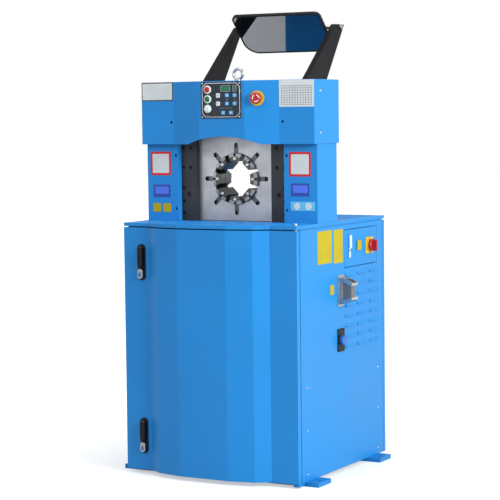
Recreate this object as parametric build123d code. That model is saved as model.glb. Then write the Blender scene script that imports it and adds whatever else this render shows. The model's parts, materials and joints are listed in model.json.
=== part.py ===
from build123d import *
import os
from math import cos, hypot, radians, sin, tan

# Hose crimping machine: an eight-jaw vertical press on a sheet-metal cabinet.
# Millimetres. +X right, front is -Y, +Z up, origin on the floor between the four anchor holes.

os.makedirs("parts", exist_ok=True)

# ---------------------------------------------------------------- driving dimensions
# Cabinet
cab_w = 800.0  # over the side panels
door_front = -404.0  # flat ends of the door
cab_back = 404.0
door_t = 25.0
door_gap = 5.0
panel_bottom = 18.0  # also the thickness of the foot bars
panel_top = 1018.0
sheet = 3.0
deck_gap = 5.0
deck_rim = 14.0
deck_sheet = 4.0
rear_strip = 20.0  # the rear panel's returns seen from the side
seam = 3.0  # open seam between neighbouring panels
angle_leg = 40.0  # the frame's angle bars
angle_t = 4.0
ring_leg = 30.0  # upright leg of the top and bottom rings
tray_t = 4.0
clear = 0.3  # running clearance of fitted pieces
# Bowed front of the door and of the deck: half widths of the steps, and how far each stands out
bow_x = (280.0, 222.0, 112.0)
bow_out = (36.0, 58.0)
# Feet
foot_x = 455.0  # end of the tabs
foot_y = 285.0  # middle of each bar
foot_w = 110.0
anchor_x = 430.0
anchor_d = 14.0
# Press
crimp_z = 1210.5  # centre of the open dies above the floor
jaw_count = 8
stroke = 24.0  # radial travel of each die
open_r = 72.0  # die faces to the centre, open
seat_r = 90.0  # die to carrier, open
bore_r = 106.0  # opening in the face plates
slot_r = 149.0  # end of the radial slots
slot_w = 19.0
key_r = 131.0
key_w = 17.0
yoke_flat = 100.0  # flat of the yoke to the centre, closed
side_reach = 190.0  # outer end of the two side carriers, closed
tip_x = 240.0  # half width of the yokes
yoke_gap = 4.0  # left between the yokes when closed
die_front = -182.0
die_len = 100.0
plate_front = -166.0
plate_t = 15.0
rear_plate_front = -79.0
plate_gap = 0.3
plate_half = 224.0
plate_top = 1395.0
plate_lift = 2.0  # face plates above the deck when open
yoke_top = 1440.0
yoke_bottom = 985.0
rail_front = -192.0
rail_in = 176.0
rail_out = 247.5
rail_t = 24.0
rail_top = 1436.0
rib_in = 226.0
column_in = 252.0
column_out = 392.0
column_front = -205.0
column_back = -55.0
flange_t = 18.0
web_t = 14.0
bolster_z = (690.0, 750.0)
bolt_x = (237.0, 203.0)
bolt_z = (1338.5, 1257.0)
lone_bolt_z = (1173.5, 1119.0, 1068.7)
large_bolt = (212.0, 1147.0)
bolt_d = 13.0
large_bolt_d = 18.0
# Head cover and pillar covers
cover_half = 403.0
cover_front = -248.0
cover_back = -31.0
cover_z = (1354.0, 1610.0)
cover_x = (246.0, 107.0)
cover_out = 36.0
arch_half = 170.0
arch_rise = 31.0
pillar_in = 248.0
pillar_out = 398.0
pillar_front = -217.0
pillar_back = -44.0
pillar_top = 1362.0
port_x = 259.5  # service holes
port_d = 11.0
port_z = (1307.0, 1087.0)
cover_port_z = 1444.0
# Control panel and buttons
panel_half = 92.5
panel_z = (1459.0, 1606.0)
panel_t = 3.0
button_x = -61.5
button_z = (1575.0, 1536.5, 1498.0)
bezel_d = 33.0
bezel_t = 5.0
button_d = 22.0
button_travel = 4.0
estop_x = 158.0
estop_z = 1538.0
estop_ring_d = 60.0
estop_d = 46.0
estop_travel = 6.0
# Eye bolt
eye_y = -143.0
eye_outer = 54.0
eye_bar = 12.0
# Rear-view mirror
mirror_w = 424.0
mirror_h = 218.0
mirror_t = 22.0
mirror_ahead = 55.0  # its middle ahead of and below the rod
mirror_drop = 23.0
mirror_tilt = 45.0
mirror_top_r = 26.0
mirror_low_r = 62.0
mirror_rim = 7.0
glass_t = 3.0
clamp_x = 95.0
clamp_wall = 6.0
arm_x = 245.0
arm_t = 4.0
arm_flange = 20.0
arm_foot_z = 1362.0  # lower end of the arms on the cover
arm_front_z = 1597.0  # where their front edge leaves the cover
arm_top_w = 76.0
arm_top_up = 12.0  # arm's end above the rod
rod_y = 300.0
rod_z = 1838.0
rod_d = 16.0
# Front door latches
latch_x = -314.5
latch_w = 35.0
latch_z = ((803.0, 950.0), (87.0, 234.0))
latch_plate_t = 6.0
grip_gap = 3.0
spindle_drop = 17.0  # spindle below the top of its plate
spindle_d = 10.0
lock_h = 42.0
cam_len = 60.0
# Door hinge
hinge_x = 390.0
hinge_y = -389.0
hinge_d = 10.0
pin_head = 11.0
# Electrical box in the right-hand panel
box_y = (17.0, 322.0)
box_z = (844.0, 996.0)
box_depth = 100.0
box_lip = 12.0
box_hinge_x = 396.0
box_hinge_y = 318.0
box_pin_d = 4.0
box_latch_y = 60.0
box_latch_z = (879.0, 976.0)
box_latch_w = 16.0
switch_y = 250.0
switch_up = 76.0  # above the box door's lower edge
switch_w = 68.0
knob_d = 52.0
# Louvres
louvre_y = (61.5, 173.5, 292.0)
louvre_w = 80.0
louvre_top = 815.0
louvre_pitch = 42.3
louvre_rows = 8
louvre_h = 15.0
louvre_out = 7.0
# Connector and socket
conn_y = -23.0
conn_z = 752.0
conn_w = 57.0
conn_h = 128.0
conn_base_t = 22.0
hood_w = 43.0
hood_h = 96.0
hood_t = 38.0
lever_pivot_x = 14.0  # out from the panel
lever_pivot_z = 47.0  # off the middle
lever_t = 3.0
socket_y = -25.0
socket_z = 549.0
socket_w = 58.0
socket_h = 94.0
cap_d = 40.0
# Side panel screws
screw_y = 326.0
screw_z = (45.0, 219.0, 393.0)
screw_d = 9.0
cover_screw_y = -196.0
cover_screw_z = (1398.0, 1565.0)
# Hydraulics
barrel_d = 190.0
ram_d = 120.0
barrel_gap = 30.0  # under the open lower yoke
barrel_floor = 30.0
tank_x = (-350.0, 130.0)
tank_y = (20.0, 350.0)
tank_h = 300.0
lid_t = 6.0
motor_at = (-200.0, 185.0)
motor_d = 170.0
motor_h = 260.0
pump_h = 90.0
pump_d = 110.0
valve_at = (50.0, 170.0)
valve_size = (90.0, 120.0, 90.0)
pipe_d = 16.0
pipe_x = 20.0
fin_count = 18

# ---------------------------------------------------------------- derived places
half = cab_w / 2
deck_under = panel_top + deck_gap
deck_top = deck_under + deck_rim
frame_front = door_front + door_t + door_gap
side_back = cab_back - rear_strip
frame_x = half - sheet
tray_top = panel_bottom + tray_t
head_y = (column_front + column_back) / 2
wedge = 180.0 / jaw_count
yoke_y = (plate_front + plate_t + plate_gap, rear_plate_front - plate_gap)
switch_z = box_z[0] + switch_up
barrel_top = yoke_bottom - barrel_gap
mirror_y = rod_y - mirror_ahead
mirror_z = rod_z - mirror_drop


# ---------------------------------------------------------------- helpers
def block(x0, x1, y0, y1, z0, z1):
    """A box between two corners."""
    middle = Pos((x0 + x1) / 2, (y0 + y1) / 2, (z0 + z1) / 2)
    return middle * Box(abs(x1 - x0), abs(y1 - y0), abs(z1 - z0))


def round_z(x, y, z0, z1, d):
    """An upright cylinder."""
    return Pos(x, y, (z0 + z1) / 2) * Cylinder(d / 2, abs(z1 - z0))


def round_y(x, z, y0, y1, d):
    """A cylinder along the depth."""
    return Pos(x, (y0 + y1) / 2, z) * Rot(90, 0, 0) * Cylinder(d / 2, abs(y1 - y0))


def round_x(y, z, x0, x1, d):
    """A cylinder along the width."""
    return Pos((x0 + x1) / 2, y, z) * Rot(0, 90, 0) * Cylinder(d / 2, abs(x1 - x0))


def outline(points):
    """A flat face from the corners of its closed outline."""
    return make_face(Polyline(*points, close=True))


def elevation(face, y0, y1):
    """A face drawn in X and Z, made solid between two depths."""
    view = Plane(origin=(0, y1, 0), x_dir=(1, 0, 0), z_dir=(0, -1, 0))
    return extrude(view * face, y1 - y0)


def profile(face, x0, x1):
    """A face drawn in Y and Z, made solid between two widths."""
    view = Plane(origin=(x0, 0, 0), x_dir=(0, 1, 0), z_dir=(1, 0, 0))
    return extrude(view * face, x1 - x0)


def save(name, *shapes):
    """Writes every solid of the given shapes as one node."""
    solids = [solid for shape in shapes for solid in shape.solids()]
    whole = solids[0] if len(solids) == 1 else Compound(children=solids)
    export_step(whole, f"parts/{name}.step")


def bowed(front, ends, back, xs, outs, inset=0.0):
    """Outline in X and Y with a faceted bow at the front, drawn inwards by an even inset."""
    steps = [(ends, 0.0), (xs[0], 0.0)] + list(zip(xs[1:], outs))
    right = [(ends, back)] + [(x, front - out) for x, out in steps]
    left = [(-x, y) for x, y in reversed(right)]
    face = outline(right + left)
    if inset:
        face = offset(face, amount=-inset, kind=Kind.INTERSECTION)
    return face


# ---------------------------------------------------------------- cabinet
def make_base_frame():
    """Two foot bars with anchor holes, a floor tray on them and the lower hinge lug."""
    base = block(-frame_x, frame_x, frame_front, side_back, panel_bottom, tray_top)
    for side in (-1, 1):
        y = side * foot_y
        base += block(-foot_x, foot_x, y - foot_w / 2, y + foot_w / 2, 0, panel_bottom)
    for x in (-anchor_x, anchor_x):
        for y in (-foot_y, foot_y):
            base -= round_z(x, y, -1, panel_bottom + 1, anchor_d)
    lug = block(hinge_x - 16, hinge_x + 8, hinge_y - 9, frame_front + 1, 6, panel_bottom - 1)
    lug += block(hinge_x - 16, frame_x, frame_front, frame_front + 30, 6, panel_bottom)
    base += lug - round_z(hinge_x, hinge_y, 0, panel_bottom, hinge_d + 2 * clear)
    return base


def ring(z0, z1, wall):
    """A rectangular ring that follows the frame's outside."""
    outer = block(-frame_x, frame_x, frame_front, side_back, z0, z1)
    inner = block(
        -frame_x + wall, frame_x - wall, frame_front + wall, side_back - wall, z0 - 1, z1 + 1
    )
    return outer - inner


def make_cabinet_frame():
    """A welded frame of angle bars: four posts and a ring at the top and the bottom."""
    top = deck_top - deck_sheet
    frame = ring(top - angle_t, top, angle_leg)
    frame += ring(top - ring_leg, top, angle_t)
    frame += ring(tray_top, tray_top + ring_leg, angle_t)
    for sx in (-1, 1):
        for y, sy in ((frame_front, 1), (side_back, -1)):
            x = sx * frame_x
            frame += block(x, x - sx * angle_leg, y, y + sy * angle_t, tray_top, top)
            frame += block(x, x - sx * angle_t, y, y + sy * angle_leg, tray_top, top)
    return frame - column_wells(tray_top, top + 1)


def column_wells(z0, z1):
    """The two upright spaces that the press columns pass through."""
    wells = []
    for side in (-1, 1):
        x = side * (column_in - clear), side * (column_out + clear)
        wells.append(block(*x, column_front - clear, column_back + clear, z0, z1))
    return wells


def make_side_panel(side):
    """A sheet panel with folded front and rear edges."""
    x = side * half
    panel = block(x, x - side * sheet, frame_front, side_back - seam, panel_bottom, panel_top)
    return panel


def louvre(y, z):
    """One pressed louvre: a sloping hood over a slot."""
    hood = outline([(half - 0.5, z + louvre_h), (half + louvre_out, z), (half - 0.5, z)])
    view = Plane(origin=(0, y + louvre_w / 2, 0), x_dir=(1, 0, 0), z_dir=(0, -1, 0))
    skin = extrude(view * hood, louvre_w)
    throat = outline(
        [
            (half - sheet - 1, z + louvre_h - 3),
            (half, z + louvre_h - 3),
            (half + louvre_out - 3, z - 1),
            (half - sheet - 1, z - 1),
        ]
    )
    inner = Plane(origin=(0, y + louvre_w / 2 - 2, 0), x_dir=(1, 0, 0), z_dir=(0, -1, 0))
    return skin, extrude(inner * throat, louvre_w - 4)


def make_right_panel():
    """The right-hand panel with its louvres and the electrical box welded behind it."""
    panel = make_side_panel(1)
    skins, throats = [], []
    for y in louvre_y:
        for row in range(louvre_rows):
            skin, throat = louvre(y, louvre_top - louvre_h / 2 - row * louvre_pitch)
            skins.append(skin)
            throats.append(throat)
    panel = (panel + skins) - throats
    y0, y1 = box_y[0] - seam, box_y[1] + seam
    z0, z1 = box_z[0] - seam, box_z[1] + seam
    panel -= block(half - sheet - 1, half + 1, y0, y1, z0, z1)
    inside = half - box_depth
    shell = block(inside, half - sheet, y0 - sheet, y1 + sheet, z0 - sheet, z1 + sheet)
    shell -= block(inside + sheet, half, y0, y1, z0, z1)
    pin = round_z(box_hinge_x, box_hinge_y, z0 - 2 * sheet, z1 + 2 * sheet, box_pin_d + 2 * clear)
    return panel + shell - pin


def make_rear_panel():
    """The rear panel with returns that close the corners, and a field of air slots."""
    panel = block(-half, half, side_back, cab_back, panel_bottom, panel_top)
    panel -= block(
        -half + sheet, half - sheet, side_back - 1, cab_back - sheet, panel_bottom + sheet, panel_top - sheet
    )
    slots = []
    for column in (-1, 1):
        for row in range(louvre_rows):
            z = louvre_top - row * louvre_pitch
            x = column * louvre_w
            slots.append(block(x - 50, x + 50, cab_back - 6, cab_back + 1, z - 4, z + 4))
    return panel - slots


def make_deck_plate():
    """The tread-plate top, folded down all round, with openings for the press."""
    xs = bow_x
    deck = extrude(Pos(0, 0, deck_under) * bowed(door_front, half, cab_back, xs, bow_out), deck_rim)
    hollow = bowed(door_front, half, cab_back, xs, bow_out, sheet)
    deck -= extrude(Pos(0, 0, deck_under) * hollow, deck_rim - deck_sheet)
    gap = 2.0
    deck -= block(-tip_x - gap, tip_x + gap, yoke_y[0] - gap, yoke_y[1] + gap, deck_under, deck_top + 1)
    deck -= column_wells(deck_under, deck_top + 1)
    return deck - round_z(hinge_x, hinge_y, deck_under - 1, deck_top + 1, hinge_d + 2 * clear)


def make_front_door():
    """The bowed front door: a folded tray with hinge blocks and holes for the latch spindles."""
    tall = panel_top - panel_bottom
    back = door_front + door_t
    door = extrude(Pos(0, 0, panel_bottom) * bowed(door_front, half, back, bow_x, bow_out), tall)
    hollow = bowed(door_front, half, back + 2 * sheet, bow_x, bow_out, sheet)
    door -= extrude(Pos(0, 0, panel_bottom + sheet) * hollow, tall - 2 * sheet)
    knuckle = hinge_d + 10
    for z0, z1 in ((panel_bottom, panel_bottom + 30), (panel_top - 30, panel_top)):
        door += block(
            hinge_x - knuckle / 2, half - sheet / 2, hinge_y - knuckle / 2, back - sheet, z0, z1
        )
        door -= round_z(hinge_x, hinge_y, z0 - 1, z1 + 1, hinge_d + 2 * clear)
    for low, high in latch_z:
        z = high - spindle_drop
        door -= round_y(latch_x, z, door_front - 1, door_front + sheet + 1, spindle_d + 2 * clear)
    return door


def make_hinge_pins():
    """Two pins of the front door and the long pin of the box door."""
    lower = round_z(hinge_x, hinge_y, 6, panel_bottom + 28, hinge_d)
    upper = round_z(hinge_x, hinge_y, panel_top - 28, deck_top + pin_head, hinge_d)
    upper = fillet(upper.edges().sort_by(Axis.Z)[-1:], hinge_d * 0.3)
    side = round_z(
        box_hinge_x, box_hinge_y, box_z[0] - seam - sheet, box_z[1] + seam + sheet, box_pin_d
    )
    return lower, upper, side


# ---------------------------------------------------------------- door latches
def stadium(width, height):
    """An upright slot-shaped face about the origin."""
    return Rot(0, 0, 90) * SlotOverall(height, width)


def make_latch(low, high):
    """Swing-handle latch: plate, lock, handle and spindle with its cam."""
    middle = (low + high) / 2
    face = door_front
    spindle_z = high - spindle_drop
    plate = elevation(Pos(latch_x, middle) * stadium(latch_w, high - low), face - latch_plate_t, face)
    plate -= round_y(latch_x, spindle_z, face - latch_plate_t - 1, face + 1, spindle_d + 2 * clear)
    outside = face - latch_plate_t
    lock_face = Pos(latch_x, low + 6 + lock_h / 2) * stadium(latch_w - 11, lock_h)
    lock = elevation(lock_face, outside - 14, outside)
    lock = chamfer(lock.faces().sort_by(Axis.Y)[0].edges(), 2)
    lock -= round_y(latch_x, low + 20, outside - 15, outside - 5, 12)
    grip_y = (outside - grip_gap - 13, outside - grip_gap)
    grip_low = low + 6 + lock_h + 4
    grip_w = latch_w - 13
    reach = spindle_z + 5 - grip_low
    grip = elevation(Pos(latch_x, grip_low + reach / 2) * stadium(grip_w, reach), *grip_y)
    grip = chamfer(grip.faces().sort_by(Axis.Y)[0].edges(), 3)
    fork = 14.0
    grip -= block(
        latch_x - fork / 2, latch_x + fork / 2, grip_y[1] - 9.5, grip_y[1] + 1, spindle_z - 10, spindle_z + 6
    )
    cam_y = frame_front + angle_t + 2
    spindle = round_y(latch_x, spindle_z, outside - grip_gap - 6, cam_y + 4, spindle_d)
    pin = latch_pin_y(), spindle_z
    spindle += round_x(*pin, latch_x - fork / 2 + clear, latch_x + fork / 2 - clear, 3)
    cam_face = Pos(latch_x, spindle_z - cam_len / 2 + 10) * stadium(20, cam_len)
    cam = elevation(cam_face, cam_y, cam_y + 4)
    return plate, lock, grip, spindle + cam


def latch_pin_y():
    """Depth of the cross pin that a latch handle lifts about."""
    return door_front - latch_plate_t - grip_gap - 4


# ---------------------------------------------------------------- electrical box, connector, socket
def make_box_door():
    """The small tray door in the right-hand panel."""
    door = block(half - box_lip, half, *box_y, *box_z)
    door -= block(
        half - box_lip - 1, half - sheet,
        box_y[0] + sheet, box_y[1] - sheet, box_z[0] + sheet, box_z[1] - sheet,
    )
    knuckle = block(box_hinge_x - 5, half - 0.5, box_hinge_y - 5, box_y[1] - 0.5, *box_z)
    door += knuckle
    door -= round_z(box_hinge_x, box_hinge_y, box_z[0] - 1, box_z[1] + 1, box_pin_d + 2 * clear)
    door -= round_x(switch_y, switch_z, half - sheet - 1, half + 1, 12.5)
    low, high = box_latch_z
    frame = block(half, half + 4, box_latch_y - box_latch_w / 2, box_latch_y + box_latch_w / 2, low, high)
    frame -= round_x(box_latch_y, low + 31, half + 2, half + 5, 11)
    return door + frame


def make_box_latch():
    """The lever of the slim latch, over the upper two thirds of its plate."""
    low, high = box_latch_z
    w = box_latch_w - 4
    lever = block(half + 4.8, half + 12, box_latch_y - w / 2, box_latch_y + w / 2, low + 42, high - 3)
    return chamfer(lever.faces().sort_by(Axis.X)[-1].edges(), 2)


def make_switch():
    """The main switch: square plate and rotary knob."""
    plate = block(
        half, half + 3, switch_y - switch_w / 2, switch_y + switch_w / 2,
        switch_z - switch_w / 2, switch_z + switch_w / 2,
    )
    plate = fillet(plate.edges().filter_by(Axis.X), 4)
    collar = round_x(switch_y, switch_z, half + 3, half + 9, knob_d + 6)
    plate = plate + collar - round_x(switch_y, switch_z, half - 1, half + 10, 12.5)
    base = half + 9 + clear
    knob = round_x(switch_y, switch_z, base, base + 12, knob_d)
    knob = chamfer(knob.faces().sort_by(Axis.X)[-1].edges(), 3)
    nose = profile(Pos(switch_y, switch_z) * stadium(15, knob_d - 4), base + 12, base + 31)
    knob = knob + fillet(nose.faces().sort_by(Axis.X)[-1].edges(), 3)
    knob += round_x(switch_y, switch_z, half - 12, base, 12)
    return plate, knob


def make_connector():
    """A heavy rectangular connector: base housing, hood and its two locking levers."""
    centre = Pos(conn_y, conn_z)
    base = profile(centre * RectangleRounded(conn_w, conn_h, 5), half, half + 5)
    base += profile(centre * RectangleRounded(hood_w + 6, hood_h + 6, 5), half + 5, half + conn_base_t)
    base -= profile(centre * RectangleRounded(hood_w - 8, hood_h - 8, 4), half + 8, half + conn_base_t + 1)
    for sy in (-1, 1):
        for sz in (-1, 1):
            y, z = conn_y + sy * (conn_w / 2 - 7), conn_z + sz * (conn_h / 2 - 7)
            base -= round_x(y, z, half - 1, half + 6, 4.5)
    base_side = conn_y - hood_w / 2 - 3, conn_y + hood_w / 2 + 3
    for sz in (-1, 1):
        pin = Pos(half + lever_pivot_x, conn_y, conn_z + sz * lever_pivot_z) * Rot(90, 0, 0)
        base += pin * Cylinder(3, base_side[1] - base_side[0] + 2 * lever_t + 2)
    start = half + conn_base_t + clear
    lower = Plane(origin=(start, 0, 0), x_dir=(0, 1, 0), z_dir=(1, 0, 0))
    upper = Plane(origin=(start + hood_t, 0, 0), x_dir=(0, 1, 0), z_dir=(1, 0, 0))
    body = loft(
        [lower * centre * RectangleRounded(hood_w, hood_h, 6),
         upper * centre * RectangleRounded(hood_w - 6, hood_h - 34, 6)]
    )
    body = fillet(body.faces().sort_by(Axis.X)[-1].edges(), 2)
    return base, body


def make_lever(side):
    """One locking lever: two flat arms joined by a bar over the hood."""
    z = conn_z + side * lever_pivot_z
    x = half + lever_pivot_x
    tip_x0 = half + conn_base_t + hood_t + 3
    arm = outline(
        [
            (x - 6, z - side * 6),
            (x + 6, z - side * 9),
            (tip_x0, z - side * 24),
            (tip_x0 + 5, z - side * 18),
            (tip_x0 - 2, z - side * 8),
            (x + 6, z + side * 7),
            (x - 6, z + side * 6),
        ]
    )
    outer = hood_w / 2 + 3 + clear + lever_t
    near = elevation(arm, conn_y - outer, conn_y - outer + lever_t)
    far = elevation(arm, conn_y + outer - lever_t, conn_y + outer)
    bar = outline(
        [
            (tip_x0, z - side * 24),
            (tip_x0 + 5, z - side * 18),
            (tip_x0 + 2, z - side * 12),
            (tip_x0 - 1, z - side * 16),
        ]
    )
    lever = near + far + elevation(bar, conn_y - outer, conn_y + outer)
    pin = Pos(x, conn_y, z) * Rot(90, 0, 0) * Cylinder(3 + clear, 2 * outer + 2)
    return lever - pin


def make_socket():
    """A small outlet plate with a round screw cap."""
    plate = profile(Pos(socket_y, socket_z) * RectangleRounded(socket_w, socket_h, 3), half, half + 5)
    for sy in (-1, 1):
        for sz in (-1, 1):
            y, z = socket_y + sy * (socket_w / 2 - 7), socket_z + sz * (socket_h / 2 - 7)
            plate -= round_x(y, z, half + 3, half + 6, 6)
    plate += round_x(socket_y, socket_z, half + 5, half + 13, cap_d - 10)
    cap = round_x(socket_y, socket_z, half + 5 + clear, half + 20, cap_d)
    cap = chamfer(cap.faces().sort_by(Axis.X)[-1].edges(), 2)
    cap -= round_x(socket_y, socket_z, half + 5, half + 13 + clear, cap_d - 10 + 2 * clear)
    return plate, cap


# ---------------------------------------------------------------- press
def make_press_frame():
    """Two H-section columns tied by a crosshead and a bolster, with ribs that carry the rails."""
    ribs = ((plate_front - plate_gap, yoke_y[0] - 1), (yoke_y[1] + 1, rear_plate_front + plate_t + plate_gap))
    parts = []
    for side in (-1, 1):
        inner, outer = side * column_in, side * column_out
        parts.append(block(inner, inner + side * flange_t, column_front, column_back, tray_top, yoke_top))
        parts.append(block(outer, outer - side * flange_t, column_front, column_back, tray_top, yoke_top))
        parts.append(block(inner, outer, head_y - web_t / 2, head_y + web_t / 2, tray_top, yoke_top))
        for y0, y1 in ribs:
            parts.append(block(side * rib_in, inner, y0, y1, deck_top + plate_lift, rail_top))
    end = cover_half - sheet
    top = cover_z[1] - sheet
    parts.append(block(-end, end, column_front, column_back, yoke_top, yoke_top + flange_t))
    parts.append(block(-end, end, column_front, column_back, top - flange_t, top))
    parts.append(block(-end, end, head_y - web_t, head_y + web_t, yoke_top, top))
    for side in (-1, 1):
        parts.append(
            block(side * column_in, side * (column_in + flange_t), column_front, column_back, yoke_top, top)
        )
        parts.append(block(side * end, side * (end - flange_t), column_front, column_back, yoke_top, top))
    parts.append(block(-column_in, column_in, column_front, column_back, *bolster_z))
    frame = parts[0] + parts[1:]
    return frame - round_z(0, eye_y, top - flange_t - 1, top + 1, eye_bar + 2 * clear)


def closed_corners():
    """Corners of the wedge faces about the closed centre: beside the flat, beside the facet, tip."""
    beside_flat = (yoke_flat * tan(radians(wedge)), yoke_flat)
    reach = yoke_flat / cos(radians(wedge)) / cos(radians(2 * wedge))
    beside_facet = (reach * cos(radians(wedge)), reach * sin(radians(wedge)))
    return beside_flat, beside_facet, (beside_facet[0] + beside_facet[1], 0.0)


def make_yoke(up):
    """A yoke whose inner facets drive the jaws: the fixed one above or the moving one below."""
    flat, facet, tip = closed_corners()
    gap = yoke_gap / 2
    base = crimp_z + up * stroke
    far = (yoke_top if up > 0 else yoke_bottom) - base
    right = [(tip_x, far), (tip_x, up * gap), (tip[0] - gap, up * gap), (facet[0], up * facet[1]),
             (flat[0], up * flat[1])]
    left = [(-x, z) for x, z in reversed(right)]
    return elevation(Pos(0, base) * outline(right + left), *yoke_y)


def carrier_outline(angle):
    """Outline of a die carrier about the closed centre, from its die seat to the yoke's facets."""
    flat, facet, tip = closed_corners()
    inner = seat_r - stroke
    beside = inner * tan(radians(wedge))
    sx = 1 if cos(radians(angle)) > 0 else -1
    sz = 1 if sin(radians(angle)) > 0 else -1
    if angle in (90, 270):
        points = [(-beside, inner), (beside, inner), flat, (-flat[0], flat[1])]
        return [(x, sz * z) for x, z in points]
    if angle in (0, 180):
        end = tip[0] - side_reach
        points = [(inner, beside), facet, (side_reach, end), (side_reach, -end), (facet[0], -facet[1]),
                  (inner, -beside)]
        return [(sx * x, z) for x, z in points]
    limit = tip[0] + stroke - stroke * 2**0.5 - 1  # clears the yoke's steep facet when open
    points = [(beside, inner), (inner, beside), along((inner, beside), facet, limit), along(flat, facet, limit), flat]
    return [(sx * x, sz * z) for x, z in points]


def along(start, end, total):
    """The point between two others whose coordinates add up to the total."""
    share = (total - sum(start)) / (sum(end) - sum(start))
    return start[0] + share * (end[0] - start[0]), start[1] + share * (end[1] - start[1])


def make_jaw(angle):
    """One jaw in its open place: the carrier with its nose and guide keys, and the die on it."""
    a = radians(angle)
    shift = Pos(stroke * cos(a), crimp_z + stroke * sin(a))
    face = shift * offset(outline(carrier_outline(angle)), amount=-clear, kind=Kind.INTERSECTION)
    carrier = elevation(face, *yoke_y)
    seat = seat_r + clear
    wide = tan(radians(wedge))

    def half_width(radius):
        return (radius - stroke) * wide - clear

    nose_end = bore_r - 1.5
    sector = outline(
        [(seat, -half_width(seat)), (seat, half_width(seat)), (nose_end, half_width(nose_end)),
         (nose_end, -half_width(nose_end))]
    )
    sector = sector & Circle(nose_end)
    key = Pos((seat + 5 + key_r) / 2, 0) * Rectangle(key_r - seat - 5, key_w)
    lug = Pos(0, crimp_z) * Rot(0, 0, angle) * (sector + key)
    blank = Pos(0, crimp_z) * Rot(0, 0, angle) * sector
    front = plate_front + 2
    carrier += elevation(lug, front, yoke_y[0])
    carrier += elevation(blank, die_front + 2, front)
    carrier += elevation(lug, yoke_y[1], rear_plate_front + plate_t - 2)
    hole = Pos(0, crimp_z) * Rot(0, 0, angle) * Pos(nose_end - 5, 0) * Circle(4.5)
    carrier -= elevation(hole, die_front, front + 4)
    die_face = outline(
        [(open_r, -half_width(open_r)), (open_r, half_width(open_r)), (seat, half_width(seat)),
         (seat, -half_width(seat))]
    )
    die = elevation(Pos(0, crimp_z) * Rot(0, 0, angle) * die_face, die_front, die_front + die_len)
    screw_seat = Pos(0, crimp_z) * Rot(0, 0, angle) * Pos((open_r + seat) / 2 + 2, 0) * Circle(5.5)
    die -= elevation(screw_seat, die_front - 1, die_front + 5)
    dimple = Pos(0, die_front + die_len / 2, crimp_z) * Rot(0, -angle, 0) * Pos(open_r, 0, 0)
    die -= dimple * Rot(0, 90, 0) * Cylinder(4, 5)
    return carrier, die


def make_face_plates():
    """Front and rear plates whose radial slots lead the jaws to the centre."""
    plates = []
    low = deck_top + plate_lift
    for y in (plate_front, rear_plate_front):
        face = Pos(0, (low + plate_top) / 2) * Rectangle(2 * plate_half, plate_top - low)
        cuts = Pos(0, crimp_z) * Circle(bore_r)
        for i in range(jaw_count):
            slot = Pos((slot_r + bore_r) / 2 - 10, 0) * SlotOverall(slot_r - bore_r + 20, slot_w)
            cuts += Pos(0, crimp_z) * Rot(0, 0, i * 2 * wedge) * slot
        plates.append(elevation(face - cuts, y, y + plate_t))
    return plates


def make_guide_rails():
    """Four rails screwed on the ribs: they hold the face plates' edges, front and rear."""
    rails, bolts = [], []
    for side in (-1, 1):
        ends = side * rail_in, side * rail_out
        rail = block(*ends, rail_front, plate_front - plate_gap, deck_top, rail_top)
        rear = rear_plate_front + plate_t + plate_gap
        back = block(*ends, rear, rear + rail_t - 8, deck_top, rail_top)
        places = [(x, z, bolt_d) for x in bolt_x for z in bolt_z]
        places += [(bolt_x[0], z, bolt_d) for z in lone_bolt_z]
        places.append((*large_bolt, large_bolt_d))
        for x, z, d in places:
            rail -= round_y(side * x, z, rail_front - 1, rail_front + 9, d + 2)
            bolt = round_y(side * x, z, rail_front + 2, rail_front + 9, d)
            hexagon = Pos(side * x, z) * RegularPolygon(d * 0.3, 6)
            bolts.append(bolt - elevation(hexagon, rail_front, rail_front + 6))
        rails += [rail, back]
    return rails, bolts


# ---------------------------------------------------------------- covers of the head
def make_head_cover():
    """The faceted sheet cover around the crosshead, with an arch over the dies."""
    tall = cover_z[1] - cover_z[0]
    outs = (cover_out,)
    cover = extrude(
        Pos(0, 0, cover_z[0]) * bowed(cover_front, cover_half, cover_back, cover_x, outs), tall
    )
    hollow = bowed(cover_front, cover_half, cover_back, cover_x, outs, sheet)
    cover -= extrude(Pos(0, 0, cover_z[0]) * hollow, tall - sheet)
    radius = (arch_half**2 + arch_rise**2) / (2 * arch_rise)
    arch = round_y(0, cover_z[0] + arch_rise - radius, cover_front - 60, pillar_front, 2 * radius)
    cover -= arch
    for x in (-port_x, port_x):
        cover -= round_y(x, cover_port_z, cover_front - 1, cover_front + sheet + 1, port_d)
    front = cover_front - cover_out
    for z in button_z:
        cover -= round_y(button_x, z, front - 1, front + sheet + 1, button_d - 6)
    cover -= estop_place() * Cylinder(estop_d / 4 + clear, 12)
    cover -= round_z(0, eye_y, cover_z[1] - sheet - 1, cover_z[1] + 1, eye_bar + 2 * clear)
    low = block(-tip_x, tip_x, cover_back - 6, cover_back + 1, cover_z[0] - 1, cover_z[0] + arch_rise)
    return cover - low


def estop_place():
    """Location on the right-hand ramp with its Z axis pointing out of the cover."""
    dx, dy = cover_x[0] - cover_x[1], cover_out
    long = hypot(dx, dy)
    y = cover_front - cover_out * (cover_x[0] - estop_x) / dx
    return Plane(origin=(estop_x, y, estop_z), x_dir=(dx / long, dy / long, 0), z_dir=(dy / long, -dx / long, 0))


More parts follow.
